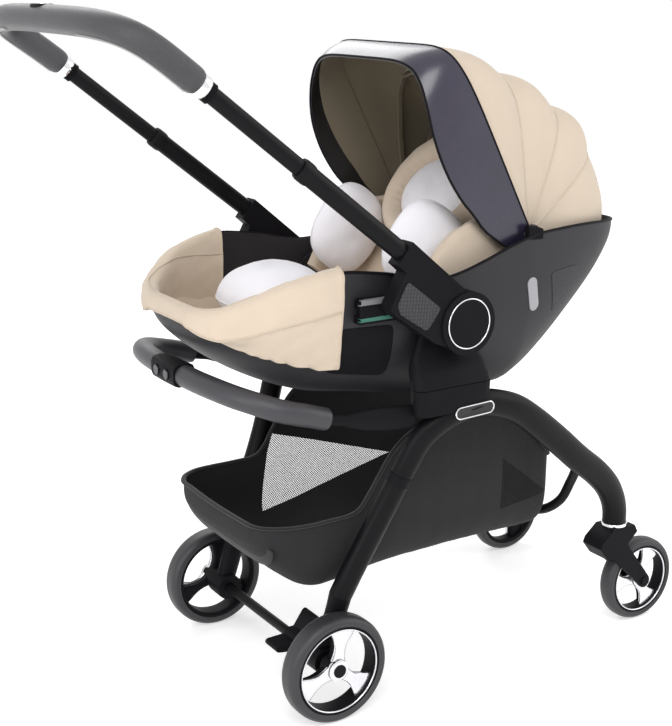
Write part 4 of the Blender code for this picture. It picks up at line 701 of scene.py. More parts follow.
def netted(name, colour, windows, pitch=0.0042, hole_share=0.30):
    """Black cloth that turns to open net inside triangles of the side view, given as three (x, z) corners."""
    tree, shader, coord = grouped(name, weave_group, "Object", colour,
                                  {"Spread": 0.22, "Pitch": 0.0016, "Depth": 0.0003}, {})
    place_of = node(tree, "ShaderNodeSeparateXYZ", {0: coord["Object"]}).outputs
    near, far = (net_window(tree, place_of, side, corners) for side, corners in windows)
    ridges = crossed_ridges(tree, place_of[0], place_of[2], math.pi / pitch, "SINE")
    hole = math_node(tree, "GREATER_THAN", ridges, hole_share)
    hole = math_node(tree, "MULTIPLY", hole, math_node(tree, "MAXIMUM", near, far))
    fill(tree, shader, {"Alpha": math_node(tree, "SUBTRACT", 1.0, hole)})


def make_finishes():
    """Every finish of the pram, by its plain name."""
    c = colours()
    plastic = np.array(c.plastic)
    grained("black plastic", plastic * 0.70, 0.52, spread=0.14, scale=1100.0, depth=0.00012, specular=0.08)
    grained("shell plastic", plastic * 1.45, 0.54, spread=0.16, scale=950.0, depth=0.00016, specular=0.40)
    grained("tube paint", np.array(c.tube) * 0.70, 0.38, spread=0.12, scale=1500.0, depth=0.00004,
            specular=0.11)
    grained("chrome", (0.84, 0.84, 0.86), 0.13, metallic=1.0, spread=0.04, gloss_spread=0.10, depth=0.00001)
    grained("rim silver", (0.80, 0.80, 0.83), 0.20, metallic=0.9, spread=0.06, gloss_spread=0.14,
            depth=0.00002)
    grained("dark metal", (0.10, 0.10, 0.11), 0.30, metallic=1.0, spread=0.10, depth=0.00003)
    grained("tyre foam", c.rubber, 0.46, spread=0.14, gloss_spread=0.16, scale=700.0, depth=0.00025)
    grained("grey foam", c.foam, 0.42, spread=0.10, scale=1300.0, depth=0.00022)
    grained("visor satin", c.visor, 0.27, spread=0.16, gloss_spread=0.12, scale=1600.0, depth=0.00004,
            coat=0.45)
    grained("light trim", (0.19, 0.19, 0.20), 0.42, spread=0.05, depth=0.00005)
    grained("reflector grey", (0.36, 0.36, 0.38), 0.38, spread=0.06, depth=0.00005)
    grained("green trim", (0.030, 0.150, 0.110), 0.40, spread=0.08)
    grained("slot black", (0.006, 0.006, 0.007), 0.35, spread=0.05)
    grained("thread", (0.55, 0.54, 0.54), 0.80, spread=0.08)
    pebbled("grip leather", c.leather, 0.40, scale=520.0)
    woven("beige cloth", c.beige)
    woven("beige piping", np.array(c.beige) * 0.86, pitch=0.0024)
    woven("canopy lining", c.lining, spread=0.12)
    woven("white jersey", c.white, spread=0.05, pitch=0.0020, sheen=0.35)
    woven("white piping", np.array(c.white) * 0.9, spread=0.05, pitch=0.0020)
    woven("black webbing", (0.020, 0.019, 0.021), spread=0.15, pitch=0.0022)
    netted("basket cloth", (0.0125, 0.0115, 0.0130), NET_WINDOWS)
    # Pressed diamonds and vent dots: their colour carries painted highlights on the ridges and painted shade
    # in the grooves
    knurled("diamond grip", plastic * 2.2, 0.0150, 0.45, 0.0012, HANDLE_PITCH)
    knurled("vent dots", plastic * 2.4, 0.0072, 0.60, 0.0006, 0.4)


def finish(name):
    """A finish by its plain name; the first call makes them all."""
    if not FINISHES:
        make_finishes()
    return FINISHES[name]


# Frame

def arch_line(side):
    """Middle line of one side's arch, in steps fine enough for its bends."""
    return curve_through(place(np.array(ARCH) * (1, side, 1)), ARCH_STEPS * FINER + 1)


def arch_rings(side):
    """Oval tube along the arch, deeper over the crown and down the front leg, cut level at its end."""
    line = arch_line(side)
    where = np.linspace(0, 1, len(line))
    deep, wide = (np.interp(where, *zip(*table)) for table in (ARCH_DEEP, ARCH_WIDE))
    rings = carried(line, oval(1, 1, 32)[None] * np.stack([deep, wide], axis=1)[:, None])
    rings[-1, :, 2] = LEG_END_Z
    return rings


class PRAM_OT_frame(Operator):
    """Legs, feet, axle, brake, docks and the basket's hoop"""
    bl_idname = "pram.frame"
    bl_label = "Frame"

    def execute(self, context):
        seam = SEAM_STEP * FINER
        for word, side in SIDES:
            rings = arch_rings(side)
            add(rings[seam:], f"front_tube_{word}", "tube paint", "chassis", f"front_leg_{word}", slot="tube")
            back = rings[:seam + 1].copy()
            back[-1] += (back[-2] - back[-1]) * 0.03
            add(back, f"rear_tube_{word}", "tube paint", "rear_frame", f"rear_leg_{word}", slot="tube")
            cuff = carried(arch_line(side)[seam - 3:seam], oval(*FOLD_CUFF, 32))
            add(cuff, f"fold_cuff_{word}", "black plastic", "rear_frame", slot="black_plastic")
            rounded_node(f"axle_foot_{word}", "black plastic", "black_plastic", 0.0018)
            rounded_node(f"seat_dock_{word}", "black plastic", "black_plastic", 0.0016, 50)
            rounded_node(f"leg_collar_{word}", "chrome", "chrome", 0.0008, 50)
            self.plate(word, side)
        rounded_node("rear_axle", "tube paint", "tube", 0.0006, 50)
        rounded_node("brake_pedal", "black plastic", "black_plastic", 0.0016)
        rest = BASKET[-1][0] + HOOP_R + HOOP_GAP
        right = [(rest + past, -y, z) for past, y, z in HOOP]
        line = curve_through(place(right + [(x, -y, z) for x, y, z in right[-2::-1]]), 81)
        add(tube(line, HOOP_R, (1, 0, 0), 20), "hoop_tube", "tube paint", "chassis", "basket_hoop",
            slot="tube")
        return {"FINISHED"}

    @staticmethod
    def plate(word, side):
        """Bare slot with a bright bezel on the crown's outer face: a stadium ring and a dark inset."""
        turn = full_turn(48)
        reach = np.stack([PLATE_REACH * np.sign(np.cos(turn)) * (np.abs(np.cos(turn)) > 1e-9), 0 * turn],
                         axis=1)
        outline = reach + PLATE_R * np.stack([np.cos(turn), np.sin(turn)], axis=1)
        centre = place(np.array(PLATE_CENTRE) * (1, side, 1))
        axes = np.array([(math.cos(PLATE_TILT), 0, -math.sin(PLATE_TILT)),
                         (math.sin(PLATE_TILT), 0, math.cos(PLATE_TILT))])
        flat = outline[:, :1] * axes[0] + outline[:, 1:] * axes[1]
        add(tube(centre + flat, 0.0011, (0, 1, 0), 8, loop=True), f"crown_bezel_{word}", "chrome", "chassis",
            slot="chrome", loop=True)
        levels = np.array([[0.97, -0.0050], [0.97, -0.0002], [0.80, -0.0008], [0.02, -0.0009]])
        rows = centre + flat[None] * levels[:, :1, None] + np.array([0, side, 0]) * levels[:, 1:, None]
        add(rows, f"crown_inset_{word}", "slot black", "chassis", slot="black_plastic")


# Wheels

def tyre_profile(radius, width, rim):
    """Closed outline of the tyre's section: flat bead, bulged wall with a groove, crowned tread."""
    h = width / 2
    half = [(rim, -h + 0.0030), (rim + 0.0035, -h + 0.0010), (radius - 0.0100, -h),
            (radius - 0.0080, -h + 0.0008),
            (radius - 0.0060, -h + 0.0004), (radius - 0.0022, -h + 0.0038), (radius - 0.0004, -h + 0.0085),
            (radius, -0.30 * h)]
    return np.array(half + [(r, -y) for r, y in half[::-1]])


def spoke(centre, turn, hub, outer, half_depth, spread=1.0):
    """Blade from the hub to the rim: waisted in width, thinner at the rim, on a rounded section."""
    share = np.linspace(0, 1, 18)
    r = hub * 0.75 + (outer - hub * 0.75) * share
    wide = spread * (0.0088 - 0.0030 * np.sin(math.pi * np.minimum(share * 1.25, 1)) + 0.0085 * share ** 2.2)
    deep = half_depth * (0.95 - 0.30 * share)
    c, s = (np.sign(wave) * np.abs(wave) ** 0.55 for wave in (np.cos(full_turn(20)), np.sin(full_turn(20))))
    along = np.array([math.cos(turn), 0, math.sin(turn)])
    square = np.array([-math.sin(turn), 0, math.cos(turn)])
    return (centre + r[:, None, None] * along + wide[:, None, None] * c[None, :, None] * square
            + deep[:, None, None] * s[None, :, None] * np.array([0, 1.0, 0]))


def rim_form(centre, wheel, outward):
    """Black barrel, hub and spoke backs (slot 0) under a bright ring, cap and spoke faces (slot 1)."""
    h = wheel["width"] / 2 - 0.0030
    rim, hub, bore = wheel["rim"], wheel["hub"], wheel["bore"]
    barrel = rim - 0.0060
    ring = [(rim - 0.0002, -h), (rim - 0.0002, h), (rim - 0.0012, h + 0.0016), (rim - 0.0040, h + 0.0014),
            (barrel, h - 0.0020), (barrel - 0.0008, 0.0040), (barrel - 0.0008, -0.0040),
            (barrel, -h + 0.0020), (rim - 0.0040, -h - 0.0014), (rim - 0.0012, -h - 0.0016)]
    form = Form().grid(turned(curve_through(ring, 40, loop=True), centre, count=96), loop=True)
    line = oval(0.0012, 0.0012, 14) + (rim - 0.0042, outward * (h + 0.0006))
    form.grid(turned(line, centre, count=120), loop=True, slot=1)
    core = [(hub - 0.0015, -h), (hub, -h + 0.0015), (hub, h - 0.0015), (hub - 0.0015, h), (hub * 0.72, h),
            (hub * 0.68, h - 0.0030), (bore, h - 0.0030), (bore, -h + 0.0030), (hub * 0.68, -h + 0.0030),
            (hub * 0.72, -h)]
    form.grid(turned(core, centre, count=48), loop=True)
    cap = [(bore, outward * (h + 0.0012)), (hub * 0.80, outward * (h + 0.0012)),
           (hub * 0.98, outward * (h - 0.0004)),
           (hub * 1.02, outward * (h - 0.0060)), (bore, outward * (h - 0.0060))]
    form.grid(turned(cap, centre, count=60), loop=True, slot=1)
    for k in range(3):
        turn = math.radians(wheel["turn"] + 120 * k)
        form.grid(spoke(centre - (0, outward * h * 0.26, 0), turn, hub, barrel + 0.0020, h * 0.46))
        form.grid(spoke(centre + (0, outward * h * 0.44, 0), turn, hub, barrel + 0.0020, h * 0.34, 1.35),
                  slot=1)
    return form


class PRAM_OT_wheels(Operator):
    """Foam tyres, three-spoke rims and castor forks"""
    bl_idname = "pram.wheels"
    bl_label = "Wheels"

    def execute(self, context):
        for kind, axle, wheel in (("rear", REAR_AXLE, REAR_WHEEL), ("front", FRONT_AXLE, FRONT_WHEEL)):
            for word, side in SIDES:
                body = f"{kind}_wheel_{word}"
                centre = place((axle[0], side * wheel["y"], axle[1]))
                profile = curve_through(tyre_profile(wheel["radius"], wheel["width"], wheel["rim"]), 56,
                                        loop=True)
                profile[:, 0] = np.clip(profile[:, 0], wheel["rim"] + 0.0002, wheel["radius"])
                add(turned(profile, centre, count=112), f"{kind}_tread_{word}", "tyre foam", body,
                    f"{kind}_tyre_{word}", slot="tyre", smooth=28, loop=True)
                rim = rim_form(centre, wheel, side).make(f"{kind}_spokes_{word}", finish("black plastic"),
                                                         finish("rim silver"), smooth=35)
                settle(rim, body, f"{kind}_rim_{word}", slot="rim")
        for word, _ in SIDES:
            rounded_node(f"castor_fork_{word}", "black plastic", "black_plastic", 0.0020)
        return {"FINISHED"}


# Carry bar

def bar_rings(line, radius, scale=None):
    """Round section kept level across a bar that bends in plan."""
    tangent = np.gradient(line, axis=0)
    across = np.stack([-tangent[:, 1], tangent[:, 0], 0 * tangent[:, 0]], axis=1)
    return carried(line, oval(1, 1, 24)[None] * radius, across, scale)


class PRAM_OT_carry_bar(Operator):
    """Carry bar, its foam grips, switch box and buttons"""
    bl_idname = "pram.carry_bar"
    bl_label = "Carry bar"

    def execute(self, context):
        right = [(x, -y, z) for x, y, z in BAR]
        line = curve_through(place(right + list(BAR[-2::-1])), BAR_STEPS * FINER + 1)
        steps = np.minimum(np.arange(len(line)), np.arange(len(line))[::-1]) / FINER
        blend = np.clip(steps / (FOAM_STEP - 1), 0, 1)[:, None, None] ** 3
        section = np.concatenate([end + (BAR_CORE_R - end) * blend for end in (BAR_END_DEEP, BAR_END_THIN)],
                                 axis=2)
        add(bar_rings(line, section), "bar_core", "black plastic", "chassis", "carry_bar",
            slot="black_plastic")
        reach = int(np.argmin(np.abs(line[:len(line) // 2, 1] + SWITCH_HALF)))
        start = FOAM_STEP * FINER
        for word, run in (("right", slice(start, reach + 1)),
                          ("left", slice(len(line) - 1 - reach, len(line) - start))):
            part = line[run]
            rings = bar_rings(part, np.full((len(part), 1, 2), BAR_GRIP_R), round_ends(len(part), 2))
            add(rings, f"bar_foam_{word}", "grey foam", "chassis", f"bar_grip_{word}", slot="foam", smooth=60)
        rounded_node("bar_switch_box", "black plastic", "black_plastic", 0.0030)
        for word, _ in SIDES:
            rounded_node(f"bar_button_{word}", "dark metal", "button", 0.0010)
        return {"FINISHED"}


# Basket

def basket_skin(inset, rows=110, cols=61):
    """Boat shape: ribs y = half cos^(2/5), z = edge - depth sin^(2/5), sagging between ribs."""
    table = curve_through(np.array(BASKET), rows)
    x, half, edge, floor = (table[:, k][:, None] for k in range(4))
    turn = np.linspace(math.pi, 0, cols)[None]
    c, s = np.cos(turn), np.sin(turn)
    y = (half - inset) * np.sign(c) * np.abs(c) ** 0.4
    z = edge - (edge - floor - inset) * np.abs(s) ** 0.4
    points = np.stack([np.broadcast_to(x, y.shape), y, z], axis=2)
    lower = np.clip((edge - z) / (edge - floor), 0, 1)
    pull = 0.0030 * lower * (1 - lower) * np.sin(x * 70.0)
    points[..., 1] -= np.sign(y) * np.abs(pull)
    points[..., 2] += np.abs(ripple(points, 0.0016, 0.12, 3)) * lower
    points[0, :, 0] += inset
    points[-1, :, 0] -= inset
    return place(points)


class PRAM_OT_basket(Operator):
    """Cloth basket with net windows and a bound edge"""
    bl_idname = "pram.basket"
    bl_label = "Basket"

    def execute(self, context):
        outer, inner = basket_skin(0.0), basket_skin(0.0014)
        add(Form().tub(outer, inner), "basket_bag", "basket cloth", "chassis", "basket", slot="black_cloth",
            smooth=50)
        right, left = outer[:, 0], outer[:, -1]
        rear = np.linspace(right[0], left[0], 12)[1:-1]
        front = np.linspace(left[-1], right[-1], 12)[1:-1]
        rear[:, 0] -= 0.003 * np.sin(np.linspace(0, math.pi, 10))
        loop = curve_through(np.vstack([right[::-1][::3], rear, left[::3], front]), 220, loop=True)
        add(carried(loop, oval(0.0042, 0.0026, 10), (0, 0, 1), loop=True), "basket_binding", "black webbing",
            "chassis", slot="black_cloth", loop=True)
        band = curve_through(outer[6:9].mean(axis=0)[4:-4], 70)
        add(carried(band, oval(0.0120, 0.0016, 12), (1, 0, 0.4)), "basket_rear_strap", "black webbing",
            "chassis", slot="black_cloth")
        return {"FINISHED"}


# Seat

def shell_table(rows):
    """Ribs of the shell, evenly spread along its length: x, half width, rim, bottom, roundness."""
    weight = np.array((1, 1, 1, 1, 0.05))
    return curve_through(np.array(SHELL) * weight, rows) / weight


def shell_ribs(x):
    """Ribs of the shell at given places along it."""
    table = shell_table(400)
    return np.stack([x] + [np.interp(x, table[:, 0], table[:, k]) for k in range(1, 5)], axis=-1)


def hull(x_table, inset, cols, top=None):
    """U-shaped ribs: y = half cos^(2/p), z = rim - depth sin^(2/p), from the rim or a level top."""
    x, half, rim, bottom, power = (x_table[:, k][:, None] for k in range(5))
    start = np.zeros_like(x)
    if top is not None:
        start = np.arcsin(np.clip((rim - top) / (rim - bottom), 0, 1) ** (power / 2))
    share = np.linspace(0, 1, cols)[None]
    turn = math.pi - start - (math.pi - 2 * start) * share
    c, s = np.cos(turn), np.sin(turn)
    y = (half - inset) * np.sign(c) * np.abs(c) ** (2 / power)
    z = rim - (rim - bottom - inset) * np.abs(s) ** (2 / power)
    return place(np.stack([np.broadcast_to(x, y.shape), y, z], axis=2))


def shell_patch(name, outline, side, proud, material, steps=10, sink=0.0015):
    """Thin plate that follows the shell: y = half (1 - s^p)^(1/p) plus its rise, s the share of the depth."""
    points = shrunk(outline, np.concatenate([[1.0, 1.0], np.linspace(0.94, 0.02, steps)]))
    rise = np.concatenate([[-sink, proud * 0.7], np.full(steps, proud)])
    x, z = points[..., 0], points[..., 1]
    _, half, rim, bottom, power = np.moveaxis(shell_ribs(x), -1, 0)
    s = np.clip((rim - z) / (rim - bottom), 0, 0.999)
    y = half * (1 - s ** power) ** (1 / power) + rise[:, None]
    add(place(np.stack([x, side * y, z], axis=2)), name, material, "seat", slot="shell", smooth=50)


def stadium(start, end, r, count=40):
    """Outline of a round-ended strip from one point to another: a half turn about each."""
    a, b = np.array(start), np.array(end)
    along = (b - a) / np.linalg.norm(b - a)
    turn = np.linspace(-math.pi / 2, math.pi / 2, count // 2) + math.atan2(along[1], along[0])
    return np.vstack([middle + r * np.stack([np.cos(turn + half), np.sin(turn + half)], axis=1)
                      for middle, half in ((b, 0.0), (a, math.pi))])


def block(corners, r, count=48):
    """Outline of a polygon with rounded corners, by a smooth curve through points beside each corner."""
    corners = np.asarray(corners, float)
    after, before = np.roll(corners, -1, axis=0), np.roll(corners, 1, axis=0)
    step_in = corners + (before - corners) / np.linalg.norm(before - corners, axis=1)[:, None] * r
    step_out = corners + (after - corners) / np.linalg.norm(after - corners, axis=1)[:, None] * r
    points = np.stack([step_in, 0.5 * corners + 0.25 * (step_in + step_out), step_out], axis=1).reshape(-1, 2)
    return curve_through(points, count, loop=True)


class PRAM_OT_shell(Operator):
    """Seat shell, its rim, hub bosses, side details and the padded foot cover"""
    bl_idname = "pram.shell"
    bl_label = "Seat shell"

    def execute(self, context):
        table = shell_table(120)
        outer, inner = hull(table, 0.0, 65), hull(table, SHELL_WALL, 65)
        inner[0, :, 0] += SHELL_WALL
        inner[-1, :, 0] -= SHELL_WALL
        form = Form().tub(outer, inner)
        for _, side in SIDES:
            inside, face = side * BOSS_Y[0], side * BOSS_Y[1]
            boss = [(BOSS_R - 0.0020, inside), (BOSS_R, inside), (BOSS_R, face - side * 0.001),
                    (BOSS_R - 0.0010, face), (0.0010, face)]
            form.grid(turned(boss, place((HUB[0], 0, HUB[1])), count=48))
            root, tip = side * PIN_Y[0], side * PIN_Y[1]
            pin = [(PIN_R, root), (PIN_R, tip + side * 0.001), (PIN_R - 0.0010, tip), (0.0005, tip)]
            form.grid(turned(pin, CANOPY_PIVOT, count=24))
        add(form, "shell_hull", "shell plastic", "seat", "seat_shell", slot="shell", smooth=45)
        edge = np.vstack([outer[:, 0], outer[::-1, -1]])
        edge = curve_through(edge[::2], 260, loop=True)
        add(carried(edge, oval(0.0017, 0.0023, 12), (0, 0, 1), loop=True), "shell_rim_bead",
            "black plastic", "seat", slot="shell", loop=True)
        for word, side in SIDES:
            shell_patch(f"reflector_{word}", stadium(*REFLECTOR_ENDS, 0.0098), side, 0.0016, "reflector grey")
            shell_patch(f"head_vent_{word}", block(HEAD_VENT, 0.010), side, 0.0008, "vent dots")
            shell_patch(f"side_panel_{word}", block(SIDE_PANEL, 0.014), side, 0.0007, "black plastic")
            rounded_node(f"belt_guide_{word}", "black plastic", "black_plastic", 0.0012)
            self.guide_trim(word, side)
            rounded_node(f"seat_post_{word}", "black plastic", "black_plastic", 0.0022, 50)
            self.hinge_boss(word, side)
        self.cover()
        self.lining()
        return {"FINISHED"}

    @staticmethod
    def hinge_boss(word, side):
        """Ribbed block on the rim over the canopy's pivot: height falls off towards the head."""
        x = np.linspace(*HINGE_X, 61)
        share = (x - x[0]) / (x[-1] - x[0])
        top = HINGE_Z[1] - 0.0105 * np.clip(share - 0.35, 0, 1) ** 1.3
        foot = np.full_like(x, HINGE_Z[0])
        inner = np.full_like(x, HINGE_Y[0])
        outer = HINGE_Y[1] + 0.0009 * np.abs(np.sin(share * 7 * math.pi))
        corners = [(inner, foot), (outer, foot), (outer, top - 0.0020), (outer - 0.0018, top),
                   (inner + 0.0018, top), (inner, top - 0.0020)]
        rings = np.stack([np.stack([x, side * y, z], axis=1) for y, z in corners], axis=1)
        add(place(rings), f"hinge_boss_{word}", "black plastic", "seat", slot="shell")

    @staticmethod
    def lining():
        """Cloth that lines the foot of the shell, from one edge of the cover to the other."""
        ribs = shell_ribs(np.linspace(-0.2880, -0.1215, 60))
        form = Form().sheet(hull(ribs, SHELL_WALL + 0.0003, 61), hull(ribs, SHELL_WALL + 0.0019, 61))
        add(form, "foot_lining", "beige cloth", "seat", slot="beige_cloth", smooth=60)

    @staticmethod
    def guide_trim(word, side):
        """Light cap and green stripe on a belt guide: two thin plates with rounded corners."""
        x0, x1 = GUIDE_X
        for name, (z0, z1), material in (("cap", GUIDE_CAP_Z, "light trim"),
                                         ("stripe", GUIDE_STRIPE_Z, "green trim")):
            outline = block([(x0, z0), (x1, z0), (x1, z1), (x0, z1)], 0.0022, 32)
            flat = shrunk(outline, (1.0, 1.0, 0.96, 0.05))
            rise = GUIDE_FACE_Y - np.array([0.0060, 0.0004, 0.0, 0.0])
            y = np.broadcast_to(side * rise[:, None], flat.shape[:2])
            points = place(np.stack([flat[..., 0], y, flat[..., 1]], axis=2))
            add(points, f"guide_{name}_{word}", material, "seat", slot="black_plastic", smooth=50)

    @staticmethod
    def cover():
        """Padded hem folded over the rim: a closed section carried round the foot of the shell."""
        xs = np.array([COVER_END_X, -0.1500, -0.1850, -0.2150, -0.2380, -0.2560, -0.2710, -0.2800,
                       -0.2860, -0.2905, -0.2930])
        half, rim = (np.interp(xs, np.array(SHELL)[:, 0], np.array(SHELL)[:, k]) for k in (1, 2))
        side = np.stack([xs, half, rim], axis=1)
        line = np.vstack([side * (1, -1, 1), [[-0.2930, 0.0, 0.6230]], side[::-1]])
        path = curve_through(place(line), 121)
        tangent = np.gradient(path, axis=0)
        out = -np.stack([tangent[:, 1], -tangent[:, 0], 0 * tangent[:, 0]], axis=1)
        out /= np.linalg.norm(out, axis=1)[:, None]
        ribs = shell_table(400)
        depth = np.interp(path[:, 0] + MIDDLE_X, ribs[:, 0], ribs[:, 2] - ribs[:, 3])
        share = np.clip((np.abs(path[:, 1]) - 0.06) / 0.12, 0, 1)
        drop = 0.0160 + 0.0440 * share ** 0.8
        inside = 0.70 * depth
        hem = np.stack([np.stack([np.full_like(drop, wide), up - low * drop - deep * inside], axis=1)
                        for wide, up, low, deep in HEM], axis=1)
        smooth = np.stack([curve_through(ring, 44, loop=True) for ring in hem])
        rings = path[:, None] + smooth[..., :1] * out[:, None]
        rings[..., 2] += smooth[..., 1]
        push = ripple(rings, 0.0011, 0.055, 11)
        rings += out[:, None] * push[..., None]
        piece = add(rings, "foot_bolster", "beige cloth", "seat", "foot_cover", slot="beige_cloth", smooth=60)
        r = sizes().piping
        for name, row in (("hem", 1), ("top", 17)):
            add(tube(curve_through(rings[:, row], 140), r, (0, 0, 1), 8), f"foot_piping_{name}",
                "beige piping", "seat", slot="beige_cloth")
        for word, end in (("right", 0), ("left", -1)):
            seam = tube(curve_through(rings[end, ::2], 60, loop=True), r, (1, 0, 0), 8, loop=True)
            add(seam, f"foot_piping_{word}", "beige piping", "seat", slot="beige_cloth", loop=True)


# Cushions

def cushion(centre, along, across, size, pinch=0.04, power=2.4, turns=72, rings=20, seed=1, crease=0.0010):
    """Stuffed pad: outline (|cos|^p + |sin|^p)^(-1/p) with drawn-in sides, height w (1 - s^2.4)^0.62.

    Returns its rows of points and the row that its seam follows."""
    u = np.array(along, float)
    u /= np.linalg.norm(u)
    v = np.array(across, float)
    v -= u * (u @ v)
    v /= np.linalg.norm(v)
    w = np.cross(u, v)
    turn = full_turn(turns)
    c, s = np.cos(turn), np.sin(turn)
    reach = (np.abs(c) ** power + np.abs(s) ** power) ** (-1 / power) * (1 - pinch * np.abs(np.cos(2 * turn)))
    level = np.sin(np.linspace(0.02, math.pi / 2, rings))
    level = np.concatenate([level, level[-2::-1]])
    sign = np.concatenate([np.ones(rings), -np.ones(rings - 1)])
    height = sign * (1 - np.clip(level, 0, 1) ** 2.4) ** 0.62
    flat = (size[0] * reach * c)[:, None] * u + (size[1] * reach * s)[:, None] * v
    points = (np.asarray(centre, float) + level[:, None, None] * flat[None]
              + (size[2] * height)[:, None, None] * w)
    pucker = np.exp(-((1 - level) / 0.10) ** 2)[:, None] * np.sin(turn * 22 + seed)[None]
    lift = ripple(points, crease, 0.075, seed) + 0.0009 * pucker * sign[:, None]
    lift = lift * (1 - level[:, None] ** 12)
    return points + lift[..., None] * w, points[rings - 1]


def inflate(piece, cap, pressure=3.0, frames=14):
    """Blow a closed pad up as cloth with pressure, each point kept within a cap of where it was."""
    scene = bpy.context.scene
    start = np.array([v.co for v in piece.data.vertices])
    cloth = piece.modifiers.new("cloth", "CLOTH")
    cloth.settings.quality = 4
    cloth.settings.mass = 0.25
    cloth.settings.tension_stiffness = 12
    cloth.settings.compression_stiffness = 12
    cloth.settings.use_pressure = True
    cloth.settings.uniform_pressure_force = pressure
    cloth.settings.effector_weights.gravity = 0.0
    cloth.point_cache.frame_start = 1
    cloth.point_cache.frame_end = frames
    for step in range(1, frames + 1):
        scene.frame_set(step)
    shaped = piece.evaluated_get(bpy.context.evaluated_depsgraph_get())
    end = np.array([v.co for v in shaped.data.vertices])
    move = end - start
    length = np.linalg.norm(move, axis=1)[:, None]
    move *= np.minimum(1, cap / np.maximum(length, 1e-9))
    piece.modifiers.remove(cloth)
    scene.frame_set(1)
    if np.isfinite(move).all():
        piece.data.vertices.foreach_set("co", (start + move).ravel())
        piece.data.update()
    return piece


def backrest_section(half, wing):
    """Outline of the padded board with a wing on each side: across, and forward of its face."""
    soft, thick, board = 0.006, 0.0200, 0.0260
    right = [(0.0, 0.0040), (half - thick - 0.012, 0.0), (half - thick, 0.010), (half - thick, wing - soft),
             (half - thick + soft, wing), (half - soft, wing), (half, wing - soft), (half, -board + soft),
             (half - soft, -board)]
    left = [(-y, d) for y, d in right[:0:-1]]
    return np.array(right + left)


